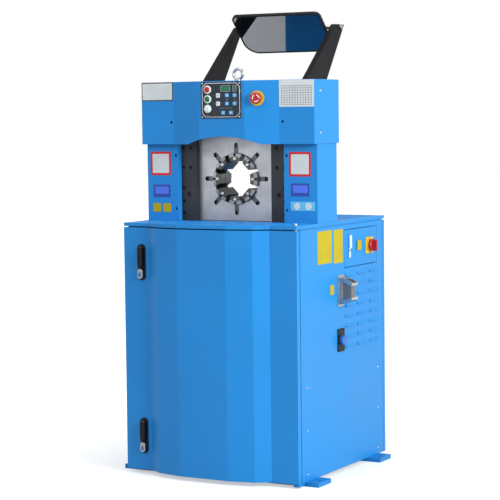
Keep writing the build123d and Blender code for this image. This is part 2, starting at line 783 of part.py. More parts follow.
def make_pillar_covers():
    """Folded sheets over the two columns, each with a short return beside the rail."""
    covers = []
    for side in (-1, 1):
        inner, outer = side * pillar_in, side * pillar_out
        low = deck_top
        shape = block(inner, outer, pillar_front, pillar_front + sheet, low, pillar_top)
        shape += block(outer - side * sheet, outer, pillar_front, pillar_back, low, pillar_top)
        shape += block(
            inner, inner + side * sheet, pillar_front, plate_front - plate_gap - 1, low, pillar_top
        )
        shape += block(
            side * (column_in + 1), outer, pillar_back - sheet, pillar_back, low, pillar_top
        )
        for z in port_z:
            shape -= round_y(side * port_x, z, pillar_front - 1, pillar_front + sheet + 1, port_d)
        covers.append(shape)
    return covers


def make_eye_bolt():
    """A forged lifting eye with its collar and shank."""
    mean = (eye_outer - eye_bar) / 2
    foot = cover_z[1]
    collar = round_z(0, eye_y, foot, foot + 6, 26)
    eye = Pos(0, eye_y, foot + 6 + mean + eye_bar / 2 - 4) * Rot(90, 0, 0) * Torus(mean, eye_bar / 2)
    shank = round_z(0, eye_y, foot - sheet - flange_t, foot, eye_bar)
    return collar + eye + shank


def make_control_panel():
    """The membrane panel on the middle of the cover, pierced for three push buttons."""
    front = cover_front - cover_out
    panel = block(-panel_half, panel_half, front - panel_t, front, *panel_z)
    for z in button_z:
        panel -= round_y(button_x, z, front - panel_t - 1, front + 1, button_d - 6)
    bezels = []
    buttons = []
    for z in button_z:
        face = front - panel_t
        bezel = round_y(button_x, z, face - bezel_t, face, bezel_d)
        bezel = chamfer(bezel.faces().sort_by(Axis.Y)[0].edges(), 1.5)
        bezels.append(bezel - round_y(button_x, z, face - bezel_t - 1, face + 1, button_d + 2 * clear))
        cap = round_y(button_x, z, face - bezel_t - button_travel, face - button_travel - 1, button_d)
        cap = chamfer(cap.faces().sort_by(Axis.Y)[0].edges(), 1.5)
        stem = round_y(button_x, z, face - button_travel - 2, front + 12, button_d - 6 - 2 * clear)
        buttons.append(cap + stem)
    return panel, bezels, buttons


def make_estop():
    """The emergency stop: yellow ring and mushroom head."""
    place = estop_place()
    ring_plate = Pos(0, 0, 1.5) * Cylinder(estop_ring_d / 2, 3)
    ring_plate += Pos(0, 0, 6) * Cylinder(estop_d / 2 - 6, 6)
    ring_plate -= Pos(0, 0, 4) * Cylinder(estop_d / 4 + clear, 12)
    base = 9 + estop_travel + clear
    head = Pos(0, 0, base + 8) * Cylinder(estop_d / 2, 16)
    head = fillet(head.edges().sort_by(Axis.Z)[-1:], 7)
    stem = Pos(0, 0, base / 2 - 4) * Cylinder(estop_d / 4, base + 10)
    return place * ring_plate, place * (head + stem)


# ---------------------------------------------------------------- mirror
def make_mirror_arms():
    """Two tapered sheet arms with a bent front flange, bolted to the back of the head cover."""
    front_low = (cover_back, arm_front_z)
    front_top = (rod_y - arm_top_w / 2, rod_z + arm_top_up)
    rear_top = (rod_y + arm_top_w / 2, rod_z + arm_top_up)
    rear_low = (cover_back + arm_flange, arm_foot_z)
    web = outline([(cover_back, arm_foot_z), front_low, front_top, rear_top, rear_low])
    run = (front_top[0] - front_low[0], front_top[1] - front_low[1])
    across = (run[1] / hypot(*run) * arm_t, -run[0] / hypot(*run) * arm_t)
    lip = outline(
        [
            front_low,
            front_top,
            (front_top[0] + across[0], front_top[1] + across[1]),
            (front_low[0] + arm_t, front_low[1] + 2 * across[1]),
            (front_low[0], front_low[1] + 2 * across[1]),
        ]
    )
    arms = []
    for side in (-1, 1):
        web_x = sorted((side * arm_x, side * (arm_x + arm_t)))
        lip_x = sorted((side * arm_x, side * (arm_x - arm_flange)))
        arm = profile(web, *web_x) + profile(lip, *lip_x)
        arm += block(*lip_x, cover_back, cover_back + arm_t, arm_foot_z, arm_front_z)
        arms.append(arm - round_x(rod_y, rod_z, web_x[0] - 1, web_x[1] + 1, rod_d + 2 * clear))
    return arms


def make_mirror_rod():
    """The cross rod between the arms, with a nut at each end."""
    end = arm_x + arm_t
    rod = round_x(rod_y, rod_z, -end, end, rod_d)
    for side in (-1, 1):
        nut = profile(Pos(rod_y, rod_z) * RegularPolygon(rod_d * 0.75, 6), *sorted((side * end, side * (end + 9))))
        rod += nut
    return rod


def mirror_outline(inset):
    """The mirror's outline: small upper corners and large lower ones."""
    face = Rectangle(mirror_w - 2 * inset, mirror_h - 2 * inset)
    face = fillet(face.vertices().group_by(Axis.Y)[-1], mirror_top_r - inset)
    return fillet(face.vertices().group_by(Axis.Y)[0], mirror_low_r - inset)


def make_mirror():
    """The tilting mirror: a housing with two clamps on the rod, and its glass."""
    lean = radians(mirror_tilt)
    place = Plane(origin=(0, mirror_y, mirror_z), x_dir=(1, 0, 0), z_dir=(0, -sin(lean), -cos(lean)))
    shell = extrude(mirror_outline(0), -mirror_t)
    shell = chamfer(shell.faces().sort_by(Axis.Z)[0].edges(), mirror_t * 0.4)
    shell -= extrude(mirror_outline(mirror_rim), -glass_t - 1)
    glass = Pos(0, 0, -1) * extrude(mirror_outline(mirror_rim + clear), -glass_t)
    rod = place.to_local_coords(Vector(0, rod_y, rod_z))
    for x in (-clamp_x, clamp_x):
        low = rod.Z - rod_d / 2 - clamp_wall
        lug = block(x - 12, x + 12, rod.Y - 15, rod.Y + 15, low, -mirror_t + 1)
        lug = fillet(lug.edges().filter_by(Axis.X).group_by(Axis.Z)[0], 8)
        shell += lug - round_x(rod.Y, rod.Z, x - 13, x + 13, rod_d + 2 * clear)
    return place * shell, place * glass


# ---------------------------------------------------------------- hydraulics
def make_cylinder():
    """The pressing cylinder: a flanged barrel on the bolster and the ram under the lower yoke."""
    foot = bolster_z[1]
    barrel = round_z(0, head_y, foot, barrel_top, barrel_d)
    barrel += block(
        -barrel_d * 0.6, barrel_d * 0.6, column_front, column_back, foot, foot + flange_t
    )
    barrel -= round_z(0, head_y, foot + barrel_floor, barrel_top + 1, ram_d + 2 * clear)
    barrel += round_y(pipe_x, port_height(), head_y + ram_d / 2 + 5, port_face(), pipe_d + 12)
    ram = round_z(0, head_y, foot + barrel_floor + clear, yoke_bottom, ram_d)
    return barrel, ram


def port_height():
    """Height of the barrel's pressure port."""
    return bolster_z[1] + barrel_floor + 20


def port_face():
    """Depth of the face of the barrel's pressure port."""
    return head_y + barrel_d / 2 + 5


def make_power_pack():
    """Oil tank with the pump and motor standing on it, the valve block and the pipes."""
    top = tray_top + tank_h
    tank = block(*tank_x, *tank_y, tray_top, top - lid_t)
    tank = fillet(tank.edges().filter_by(Axis.Z), 15)
    tank += block(tank_x[0] - 10, tank_x[1] + 10, tank_y[0] - 10, tank_y[1] + 10, top - lid_t, top)
    tank += round_z(tank_x[0] + 60, tank_y[0] + 60, top, top + 25, 50)
    x, y = motor_at
    pump = round_z(x, y, top, top + 10, motor_d) + round_z(x, y, top + 10, top + pump_h - 10, pump_d)
    pump += round_z(x, y, top + pump_h - 10, top + pump_h, motor_d)
    pipe_z = top + 35
    pump += round_x(y, pipe_z, x, x + pump_d / 2 + 6, pipe_d + 12)
    start = top + pump_h
    motor = round_z(x, y, start, start + motor_h, motor_d - 20)
    for i in range(fin_count):
        fin = Rot(0, 0, i * 360 / fin_count) * Pos(motor_d / 2 - 10, 0, 0) * Box(20, 4, motor_h - 70)
        motor += Pos(x, y, start + 10 + (motor_h - 70) / 2) * fin
    motor += round_z(x, y, start + motor_h - 50, start + motor_h, motor_d)
    motor += block(x - 35, x + 35, y - motor_d / 2 - 30, y, start + 60, start + 140)
    vx, vy = valve_at
    sx, sy, sz = valve_size
    valve = block(vx - sx / 2, vx + sx / 2, vy - sy / 2, vy + sy / 2, top, top + sz)
    coil_z = top + sz * 0.6
    for y0, y1 in ((vy - sy / 2 - 50, vy - sy / 2), (vy + sy / 2, vy + sy / 2 + 50)):
        valve += round_y(vx, coil_z, y0, y1, 44)
    rise = (pipe_x, vy - 20, top + sz)
    bend = (pipe_x, vy - 20, port_height())
    end = (pipe_x, port_face(), port_height())
    route = FilletPolyline(rise, bend, end, radius=pipe_d * 2.5)
    riser = sweep(Plane(origin=rise, z_dir=(0, 0, 1)) * Circle(pipe_d / 2), path=route)
    link = round_x(y, pipe_z, x + pump_d / 2 + 6, vx - sx / 2, pipe_d)
    return tank, pump, motor, valve, (riser, link)


# ---------------------------------------------------------------- fasteners
def make_panel_screws():
    """Button-head screws of the side panels and of the head cover."""
    screws = []
    for side in (-1, 1):
        places = [(half, y, z) for y in (-screw_y, screw_y) for z in screw_z]
        places += [(cover_half, cover_screw_y, z) for z in cover_screw_z]
        for x, y, z in places:
            ends = sorted((side * x, side * (x + 4)))
            head = round_x(y, z, *ends, screw_d)
            outer = head.faces().sort_by(Axis.X)[-1 if side > 0 else 0]
            screws.append(fillet(outer.edges(), 2.5))
    return screws


# ---------------------------------------------------------------- every node
latch_parts = [make_latch(low, high) for low, high in latch_z]
switch_plate, switch_knob = make_switch()
connector_base, connector_hood = make_connector()
socket_plate, socket_cap = make_socket()
rails, rail_bolts = make_guide_rails()
control_panel, bezels, buttons = make_control_panel()
estop_ring, estop_button = make_estop()
mirror_housing, mirror_glass = make_mirror()
barrel, ram = make_cylinder()
tank, pump, motor, valve, pipes = make_power_pack()

save("base_frame", make_base_frame())
save("cabinet_frame", make_cabinet_frame())
save("left_panel", make_side_panel(-1))
save("right_panel", make_right_panel())
save("rear_panel", make_rear_panel())
save("deck_plate", make_deck_plate())
save("panel_screws", *make_panel_screws())
save("front_door", make_front_door())
save("hinge_pins", *make_hinge_pins())
save("latch_plates", latch_parts[0][0], latch_parts[1][0])
save("latch_locks", latch_parts[0][1], latch_parts[1][1])
for place, parts in zip(("upper", "lower"), latch_parts):
    save(f"latch_handle_{place}", parts[2])
    save(f"latch_cam_{place}", parts[3])
save("box_door", make_box_door())
save("box_latch", make_box_latch())
save("switch_plate", switch_plate)
save("switch_knob", switch_knob)
save("connector_base", connector_base)
save("connector_hood", connector_hood)
save("connector_lever_upper", make_lever(1))
save("connector_lever_lower", make_lever(-1))
save("socket_plate", socket_plate)
save("socket_cap", socket_cap)
save("press_frame", make_press_frame())
save("upper_yoke", make_yoke(1))
save("lower_yoke", make_yoke(-1))
save("face_plates", *make_face_plates())
save("guide_rails", *rails)
save("rail_bolts", *rail_bolts)
save("head_cover", make_head_cover())
save("pillar_covers", *make_pillar_covers())
save("eye_bolt", make_eye_bolt())
save("control_panel", control_panel)
save("button_bezels", *bezels)
for name, button in zip(("stop_button", "start_button", "white_button"), buttons):
    save(name, button)
save("estop_ring", estop_ring)
save("estop_button", estop_button)
save("mirror_arms", *make_mirror_arms())
save("mirror_rod", make_mirror_rod())
save("mirror_housing", mirror_housing)
save("mirror_glass", mirror_glass)
save("cylinder_barrel", barrel)
save("cylinder_ram", ram)
save("oil_tank", tank)
save("pump", pump)
save("motor", motor)
save("valve_block", valve)
save("oil_pipes", *pipes)
for i in range(jaw_count):
    save(f"jaw_{i + 1}", *make_jaw((90 - i * 2 * wedge) % 360))
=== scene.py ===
import json
import math

import bpy
import numpy as np
from bpy.props import FloatProperty, FloatVectorProperty, IntProperty, PointerProperty
from bpy.types import Operator, Panel, PropertyGroup
from mathutils import Matrix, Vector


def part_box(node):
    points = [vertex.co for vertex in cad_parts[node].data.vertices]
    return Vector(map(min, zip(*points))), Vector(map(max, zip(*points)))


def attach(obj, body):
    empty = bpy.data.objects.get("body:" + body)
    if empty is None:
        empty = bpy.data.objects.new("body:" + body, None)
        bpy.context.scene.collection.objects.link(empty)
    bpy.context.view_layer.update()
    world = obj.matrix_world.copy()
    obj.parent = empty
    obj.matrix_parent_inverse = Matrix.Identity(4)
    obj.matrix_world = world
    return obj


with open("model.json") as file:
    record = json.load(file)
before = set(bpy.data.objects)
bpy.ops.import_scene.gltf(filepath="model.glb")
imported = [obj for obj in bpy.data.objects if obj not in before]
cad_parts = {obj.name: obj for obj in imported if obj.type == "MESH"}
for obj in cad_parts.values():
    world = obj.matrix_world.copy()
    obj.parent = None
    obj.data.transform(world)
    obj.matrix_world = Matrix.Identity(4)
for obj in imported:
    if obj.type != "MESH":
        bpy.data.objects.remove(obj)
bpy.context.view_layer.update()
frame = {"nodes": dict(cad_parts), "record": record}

bl_info = {
    "name": "Hose crimping machine",
    "version": (1, 0, 0),
    "blender": (4, 5, 0),
    "location": "3D View > Sidebar > Crimper",
    "description": "Finishes, plates, keys, tread deck and studio for the hose crimping machine",
    "category": "Object",
}

CRIMP_HEIGHT = 1.2105
DIE_SEAT = 0.0903  # radius at which die meets carrier
DIE_FRONT = -0.182
SLOT_PLATE_FRONT = -0.166
SCREW_CIRCLE = 0.083  # radii of the die screws and of the catches
CATCH_CIRCLE = 0.0982
HEAD_FACE = -0.248  # flat ends of the head cover
PILLAR_FACE = -0.217
ESTOP_OUT = (0.2507, -0.9681)  # way the emergency stop looks, in plan
LOCK_HEIGHTS = (0.111, 0.827)
PRESS_DEPTH = (-0.235, -0.030)  # strip of the deck that the press stands on, without tread
TREAD_WIDTH = 0.76
SIDE_WALL = 0.4  # outer face of the right wall, without its louvres
DECK_TOP = 1.037
DECK_FRONT = -0.404  # ends of the deck's front edge
BOW_ROW = -0.436  # foremost row of bumps
TREAD_MARGIN = 0.016
# Half width, and how far forward bumps are laid there. It is wider than the deck's own bow,
# so nine bumps near the ends stand past its edge.
TREAD_REACH = ((0.222, 0.058), (0.280, 0.036), (0.281, 0.0))
PANEL_HEIGHT = 1.5325  # middle of the control panel
DISPLAY_HEIGHT = 1.5785
DISPLAYS = ((0.021, 0.040), (0.0635, 0.013))  # middle and width of each
DIGITS = (0.0065, 0.0162, 0.0259, 0.0356, 0.0635)
EVEN_GRAIN = (400.0, 400.0, 400.0)  # grinding marks without direction
BROAD_GRAIN = (300.0, 300.0, 300.0)
JAWS = [f"jaw_{i}" for i in range(1, 9)]
BODY_OF = {node: body for body, nodes in frame["record"]["behaviour"]["bodies"].items() for node in nodes}


# ------------------------------------------------------------------ sizes and colours
def colour(name, text, default):
    return FloatVectorProperty(name=name, description=text, default=default, subtype="COLOR", size=3,
                               min=0, max=1)


def length(name, text, default):
    return FloatProperty(name=name, description=text, default=default, unit="LENGTH", min=0, precision=4)


def share(name, text, default):
    return FloatProperty(name=name, description=text, default=default, min=0, max=1, subtype="FACTOR")


class CrimperPaint(PropertyGroup):
    """Powder coat of the cabinet, the head and the mirror arms."""

    blue: colour("Blue", "Blue powder coat", (0.014, 0.235, 0.640))
    # Edge colour of the coat: partly coat rubbed thin, partly a painted highlight along the folds.
    worn_and_highlit_edge: colour("Worn and highlit edge", "Coat rubbed thin along the edges, with a painted highlight", (0.16, 0.50, 0.86))
    black: colour("Black", "Black powder coat of the mirror arms", (0.004, 0.0045, 0.006))
    roughness: share("Roughness", "Roughness of the coat", 0.46)
    peel: length("Peel", "Height of the coat's orange peel", 0.00006)
    edge: length("Edge", "Radius of the pressed and painted edges", 0.0022)


class CrimperMetal(PropertyGroup):
    """Steel, cast and plated finishes of the press."""

    steel: colour("Ground steel", "Ground slot plates and die carriers", (0.40, 0.41, 0.44))
    die: colour("Hardened steel", "Dark hardened dies", (0.105, 0.10, 0.095))
    rail: colour("Blackened steel", "Guide rails", (0.012, 0.014, 0.019))
    zinc: colour("Zinc", "Zinc plated screws and eye bolt", (0.46, 0.46, 0.47))
    cast: colour("Die cast", "Connector and pump housings", (0.40, 0.41, 0.43))
    grain: length("Grain", "Height of the grinding marks", 0.00004)


class CrimperPanel(PropertyGroup):
    """Control panel: foil, border, keys and displays."""

    foil: colour("Foil", "Dark grey panel foil", (0.026, 0.032, 0.044))
    border: colour("Border", "Silver printed border", (0.52, 0.54, 0.58))
    key: length("Key", "Side of a membrane key", 0.0175)
    dome: length("Dome", "Height of a key's dome", 0.0009)
    key_blue: colour("Blue key", "Blue membrane keys", (0.05, 0.38, 0.80))
    key_white: colour("White key", "White membrane keys", (0.78, 0.80, 0.82))
    glow: colour("Glow", "Display colour", (0.0, 0.26, 0.13))


class CrimperDeck(PropertyGroup):
    """Tread pattern of the deck plate."""

    pitch: length("Pitch", "Distance between neighbouring bumps", 0.0175)
    long: length("Long", "Length of a bump", 0.0145)
    wide: length("Wide", "Width of a bump", 0.0042)
    high: length("High", "Height of a bump", 0.0011)


class CrimperPlates(PropertyGroup):
    """Blank plates on the cabinet and the head."""

    yellow: colour("Yellow", "Blank yellow plates", (0.50, 0.37, 0.008))
    white: colour("White", "Blank white plates", (0.66, 0.67, 0.70))
    rim: colour("Rim", "Red rim of the pillar plates", (0.70, 0.02, 0.03))
    violet: colour("Violet", "Blank blue plates on the pillars", (0.035, 0.075, 0.36))
    cyan: colour("Cyan", "Blank pale blue plate", (0.12, 0.50, 0.80))
    thick: length("Thickness", "Thickness of a plate", 0.0008)


class CrimperStage(PropertyGroup):
    """Camera and studio light."""

    lens: FloatProperty(name="Lens", description="Focal length in millimetres", default=128.70, min=10)
    sun: FloatProperty(name="Side light", description="Strength of the large light at the right",
                       default=1.0, min=0)
    sky: FloatProperty(name="Sky", description="Strength of the even light all round", default=0.40, min=0)
    floor: IntProperty(name="Floor", description="Width of the floor in metres", default=60, min=1)


SETTINGS = {
    "crimper_paint": CrimperPaint,
    "crimper_metal": CrimperMetal,
    "crimper_panel": CrimperPanel,
    "crimper_deck": CrimperDeck,
    "crimper_plates": CrimperPlates,
    "crimper_stage": CrimperStage,
}


# ------------------------------------------------------------------ surfaces
def put_mesh(name, points, faces, body, finish, smooth=True):
    """One piece from whole arrays of points and faces, riding on a body."""
    mesh = bpy.data.meshes.new(name)
    mesh.from_pydata(points.tolist(), [], [f for block in faces for f in block.tolist()])
    mesh.validate()
    mesh.polygons.foreach_set("use_smooth", np.full(len(mesh.polygons), smooth))
    mesh.materials.append(finish)
    piece = bpy.data.objects.new(name, mesh)
    bpy.context.scene.collection.objects.link(piece)
    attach(piece, body)
    return piece


def skin(rings, copies=None):
    """Closed skin: each ring of points is joined to the next by quads, the two ends by fans to their centres.

    Copies are 3x4 placements that repeat the whole skin in one array product.
    """
    n, m = rings.shape[:2]
    points = np.concatenate([rings.reshape(-1, 3), rings[[0, -1]].mean(axis=1)])
    i = np.arange(n * m).reshape(n, m)
    j = np.roll(i, -1, axis=1)
    quads = np.stack([i[:-1], j[:-1], j[1:], i[1:]], axis=-1).reshape(-1, 4)
    low = np.stack([j[0], i[0], np.full(m, n * m)], axis=1)
    high = np.stack([i[-1], j[-1], np.full(m, n * m + 1)], axis=1)
    ends = np.concatenate([low, high])
    if copies is None:
        return points, [quads, ends]
    count = len(points)
    placed = np.einsum("cij,pj->cpi", copies[:, :, :3], points) + copies[:, None, :, 3]
    step = (np.arange(len(copies)) * count)[:, None, None]
    return placed.reshape(-1, 3), [(quads + step).reshape(-1, 4), (ends + step).reshape(-1, 3)]


def rounded(width, height, radius, count=48):
    """Rounded rectangle: each corner's centre, by the signs of cosine and sine, plus the radius."""
    t = (np.arange(count) + 0.5) * 2 * np.pi / count
    c, s = np.cos(t), np.sin(t)
    x = np.sign(c) * (width / 2 - radius) + radius * c
    y = np.sign(s) * (height / 2 - radius) + radius * s
    return np.stack([x, y], axis=1)


def chamfered(width, height, cut, count=48):
    """Rectangle with cut corners: the nearest along each ray of the four sides and the four cuts."""
    t = (np.arange(count) + 0.5) * 2 * np.pi / count
    c, s = np.abs(np.cos(t)), np.abs(np.sin(t))
    reach = np.minimum(np.minimum(width / 2 / c, height / 2 / s), ((width + height) / 2 - cut) / (c + s))
    return np.stack([reach * np.cos(t), reach * np.sin(t)], axis=1)


def polygon_ring(across, sides, count=48):
    """Regular polygon: half the distance across flats over the cosine of the angle from the nearest flat."""
    t = (np.arange(count) + 0.5) * 2 * np.pi / count
    turn = (t % (2 * np.pi / sides)) - np.pi / sides
    return np.stack([across / 2 / np.cos(turn) * np.cos(t), across / 2 / np.cos(turn) * np.sin(t)], axis=1)


def stacked(outlines, heights):
    """Rings of points: each flat outline lifted to its height."""
    return np.stack([np.column_stack([o, np.full(len(o), h)]) for o, h in zip(outlines, heights)])


def facing(origin, right, up):
    """3x4 placement whose first two axes run right and up over a face and whose third stands out of it."""
    right = np.array(right, float)
    up = np.array(up, float)
    right /= np.linalg.norm(right)
    up /= np.linalg.norm(up)
    return np.column_stack([right, up, np.cross(right, up), np.array(origin, float)])


def plate_skin(width, height, radius, thick, place, edge=0.25):
    """Plate: a rounded outline carried up its thickness, then drawn in over a small edge."""
    inset = thick * edge
    steps = ((0, 0), (0, thick - inset), (inset * 0.4, thick - inset * 0.3), (inset, thick))
    outlines = [rounded(width - 2 * i, height - 2 * i, max(radius - i, 1e-4)) for i, _ in steps]
    return skin(stacked(outlines, [h for _, h in steps]), place[None])


def dome_skin(width, height, radius, high, place, rise=0.35, count=6):
    """Cushioned key: the outline shrinks by one minus the cosine and rises by the sine of a quarter turn."""
    t = np.linspace(0, np.pi / 2, count)
    inset = (1 - np.cos(t)) * rise * min(width, height)
    outlines = [rounded(width - 2 * i, height - 2 * i, max(radius - i, 1e-4)) for i in inset]
    return skin(stacked([outlines[0]] + outlines, [0] + list(high * (0.3 + 0.7 * np.sin(t)))), place[None])


def socket_screw_skin(diameter, high, places):
    """Cap screw: a round head with a rolled edge that turns down into a six-sided socket."""
    r = diameter
    outlines = [rounded(r, r, r / 2 - 1e-6), rounded(r, r, r / 2 - 1e-6), rounded(r * 0.93, r * 0.93, r * 0.46),
                rounded(r * 0.8, r * 0.8, r * 0.399), polygon_ring(r * 0.5, 6), polygon_ring(r * 0.48, 6)]
    heights = [0, high * 0.8, high * 0.96, high, high, high * 0.35]
    return skin(stacked(outlines, heights), places)


def frame_skin(outer, inner, thick, place):
    """Flat border: out along the outer outline, over the top and back down the inner one, closed in a ring."""
    loop = stacked([outer, outer, inner, inner], [0.0, thick, thick, 0.0])
    n, m = loop.shape[:2]
    i = np.arange(n * m).reshape(n, m)
    j = np.roll(i, -1, axis=1)
    i2, j2 = np.roll(i, -1, axis=0), np.roll(j, -1, axis=0)
    quads = np.stack([i, j, j2, i2], axis=-1).reshape(-1, 4)
    points = loop.reshape(-1, 3) @ place[:, :3].T + place[:, 3]
    return points, [quads]


def merged(skins):
    """Several skins in one pair of arrays."""
    points, faces, start = [], [], 0
    for p, f in skins:
        points.append(p)
        faces += [block + start for block in f]
        start += len(p)
    return np.concatenate(points), faces


# ------------------------------------------------------------------ shader groups
def new_group(name, inputs, outputs):
    """Empty shader group with named inputs (name, type, default) and outputs (name, type)."""
    tree = bpy.data.node_groups.new(name, "ShaderNodeTree")
    for label, kind, value in inputs:
        socket = tree.interface.new_socket(label, in_out="INPUT", socket_type="NodeSocket" + kind)
        socket.default_value = value
    for label, kind in outputs:
        tree.interface.new_socket(label, in_out="OUTPUT", socket_type="NodeSocket" + kind)
    return tree, tree.nodes.new("NodeGroupInput").outputs, tree.nodes.new("NodeGroupOutput").inputs


def node(tree, kind, links=(), **settings):
    """One node with its settings, and its inputs linked from outputs or set to values."""
    made = tree.nodes.new("ShaderNode" + kind)
    for key, value in settings.items():
        setattr(made, key, value)
    for key, value in dict(links).items():
        if isinstance(value, bpy.types.NodeSocket):
            tree.links.new(value, made.inputs[key])
        else:
            made.inputs[key].default_value = value
    return made


def maths(tree, operation, a, b=0.0, clamp=False):
    return node(tree, "Math", {0: a, 1: b}, operation=operation, use_clamp=clamp).outputs[0]


def ramp(tree, value, low, high):
    """Value stretched so that low gives 0 and high gives 1."""
    return node(tree, "MapRange", {"Value": value, "From Min": low, "From Max": high}).outputs["Result"]


def make_grain_group():
    """Coat or moulded grain: two octaves of noise on Object coordinates, as a height and a slow variation."""
    tree, gi, go = new_group("surface grain", [("Cell", "Float", 0.002), ("Spread", "Float", 0.2)],
                             [("Height", "Float"), ("Variation", "Float")])
    where = node(tree, "TexCoord").outputs["Object"]
    fine = node(tree, "TexNoise", {"Vector": where, "Scale": maths(tree, "DIVIDE", 1.0, gi["Cell"]),
                                   "Detail": 2.0})
    slow = node(tree, "TexNoise", {"Vector": where, "Scale": maths(tree, "DIVIDE", 1.0, gi["Spread"]),
                                   "Detail": 4.0})
    tree.links.new(fine.outputs["Fac"], go["Height"])
    tree.links.new(slow.outputs["Fac"], go["Variation"])
    return tree


def make_edge_group():
    """Edge mask for rubbed wear and painted highlight: where the rounded normal leaves the flat one, broken up
    by noise; also the rounded normal.
    """
    tree, gi, go = new_group("edge wear and highlight", [("Radius", "Float", 0.002), ("Amount", "Float", 0.5)],
                             [("Mask", "Float"), ("Normal", "Vector")])
    rounded_normal = node(tree, "Bevel", {"Radius": gi["Radius"]}, samples=6).outputs["Normal"]
    flat = node(tree, "NewGeometry").outputs["Normal"]
    turn = node(tree, "VectorMath", {0: rounded_normal, 1: flat}, operation="DOT_PRODUCT").outputs["Value"]
    away = ramp(tree, maths(tree, "SUBTRACT", 1.0, turn), 0.015, 0.2)
    where = node(tree, "TexCoord").outputs["Object"]
    patch = node(tree, "TexNoise", {"Vector": where, "Scale": 60.0, "Detail": 3.0}).outputs["Fac"]
    broken = maths(tree, "MULTIPLY", away, ramp(tree, patch, 0.40, 0.70))
    # The mask marks rubbed edges and also where a painted highlight is laid along them.
    tree.links.new(maths(tree, "MULTIPLY", broken, gi["Amount"], True), go["Mask"])
    tree.links.new(rounded_normal, go["Normal"])
    return tree


def make_brush_group():
    """Grinding marks: noise drawn out along one axis, as a height and a tint."""
    tree, gi, go = new_group("grinding marks", [("Stretch", "Vector", (900.0, 900.0, 12.0))],
                             [("Height", "Float"), ("Tint", "Float")])
    where = node(tree, "TexCoord").outputs["Object"]
    along = node(tree, "VectorMath", {0: where, 1: gi["Stretch"]}, operation="MULTIPLY").outputs["Vector"]
    fine = node(tree, "TexNoise", {"Vector": along, "Scale": 1.0, "Detail": 3.0}).outputs["Fac"]
    cloud = node(tree, "TexNoise", {"Vector": where, "Scale": 11.0, "Detail": 5.0}).outputs["Fac"]
    tree.links.new(fine, go["Height"])
    tint = maths(tree, "ADD", maths(tree, "MULTIPLY", fine, 0.35), maths(tree, "MULTIPLY", cloud, 0.65))
    tree.links.new(tint, go["Tint"])
    return tree


GROUPS = {}


def use_group(tree, name, **values):
    makers = {"surface grain": make_grain_group, "edge wear and highlight": make_edge_group,
              "grinding marks": make_brush_group}
    if name not in GROUPS:
        GROUPS[name] = makers[name]()
    made = tree.nodes.new("ShaderNodeGroup")
    made.node_tree = GROUPS[name]
    for key, value in values.items():
        made.inputs[key].default_value = value
    return made.outputs


def mixed(tree, share_of, a, b):
    """Colour a turned into colour b by a share."""
    mix = node(tree, "Mix", data_type="RGBA")
    for key, value in ((0, share_of), (6, a), (7, b)):
        if isinstance(value, bpy.types.NodeSocket):
            tree.links.new(value, mix.inputs[key])
        elif key == 0:
            mix.inputs[0].default_value = value
        else:
            mix.inputs[key].default_value = (*value[:3], 1.0)
    return mix.outputs[2]


def new_finish(name):
    """Empty material: its tree and its shader."""
    finish = bpy.data.materials.new(name)
    finish.use_nodes = True
    tree = finish.node_tree
    return finish, tree, tree.nodes["Principled BSDF"]


def bump(tree, height, depth, normal=None):
    links = {"Height": height, "Strength": 1.0, "Distance": depth}
    if normal is not None:
        links["Normal"] = normal
    return node(tree, "Bump", links).outputs["Normal"]


def scaled(rgb, factor):
    return tuple(min(1.0, c * factor) for c in rgb)


def painted(name, rgb, worn_and_highlit_edge, roughness, peel, edge, wear=0.35, coat=0.05, level=0.25):
    """Powder coat: orange peel, slow change of gloss and tone, and edges painted paler, partly rubbed wear and
    partly painted highlight.
    """
    finish, tree, shader = new_finish(name)
    grain = use_group(tree, "surface grain", Cell=0.0016, Spread=0.35)
    edges = use_group(tree, "edge wear and highlight", Radius=edge, Amount=wear)
    tone = mixed(tree, ramp(tree, grain["Variation"], 0.3, 0.7), scaled(rgb, 0.95), scaled(rgb, 1.05))
    # Edges take the paler colour by the share wear: partly rubbed coat, partly painted highlight.
    tree.links.new(mixed(tree, edges["Mask"], tone, worn_and_highlit_edge), shader.inputs["Base Color"])
    rough = node(tree, "MapRange", {"Value": grain["Variation"], "From Min": 0.3, "From Max": 0.7,
                                    "To Min": roughness - 0.05, "To Max": roughness + 0.05})
    tree.links.new(rough.outputs["Result"], shader.inputs["Roughness"])
    tree.links.new(bump(tree, grain["Height"], peel, edges["Normal"]), shader.inputs["Normal"])
    shader.inputs["Specular IOR Level"].default_value = level
    shader.inputs["Coat Weight"].default_value = coat
    shader.inputs["Coat Roughness"].default_value = 0.2
    return finish


def moulded(name, rgb, roughness, cell=0.0007, depth=0.00003, coat=0.0, edge=0.0008, level=0.4):
    """Moulded plastic: fine grain, a little tone and softened edges, painted paler as rubbed wear and painted
    highlight.
    """
    finish, tree, shader = new_finish(name)
    grain = use_group(tree, "surface grain", Cell=cell, Spread=0.06)
    edges = use_group(tree, "edge wear and highlight", Radius=edge, Amount=0.12)
    tone = mixed(tree, ramp(tree, grain["Variation"], 0.3, 0.7), scaled(rgb, 0.92), scaled(rgb, 1.06))
    # Edges painted paler: rubbed wear and painted highlight.
    tree.links.new(mixed(tree, edges["Mask"], tone, scaled(rgb, 1.5)), shader.inputs["Base Color"])
    rough = node(tree, "MapRange", {"Value": grain["Variation"], "From Min": 0.3, "From Max": 0.7,
                                    "To Min": max(0.02, roughness - 0.06), "To Max": roughness + 0.06})
    tree.links.new(rough.outputs["Result"], shader.inputs["Roughness"])
    tree.links.new(bump(tree, grain["Height"], depth, edges["Normal"]), shader.inputs["Normal"])
    shader.inputs["Specular IOR Level"].default_value = level
    shader.inputs["Coat Weight"].default_value = coat
    shader.inputs["Coat Roughness"].default_value = 0.06
    return finish


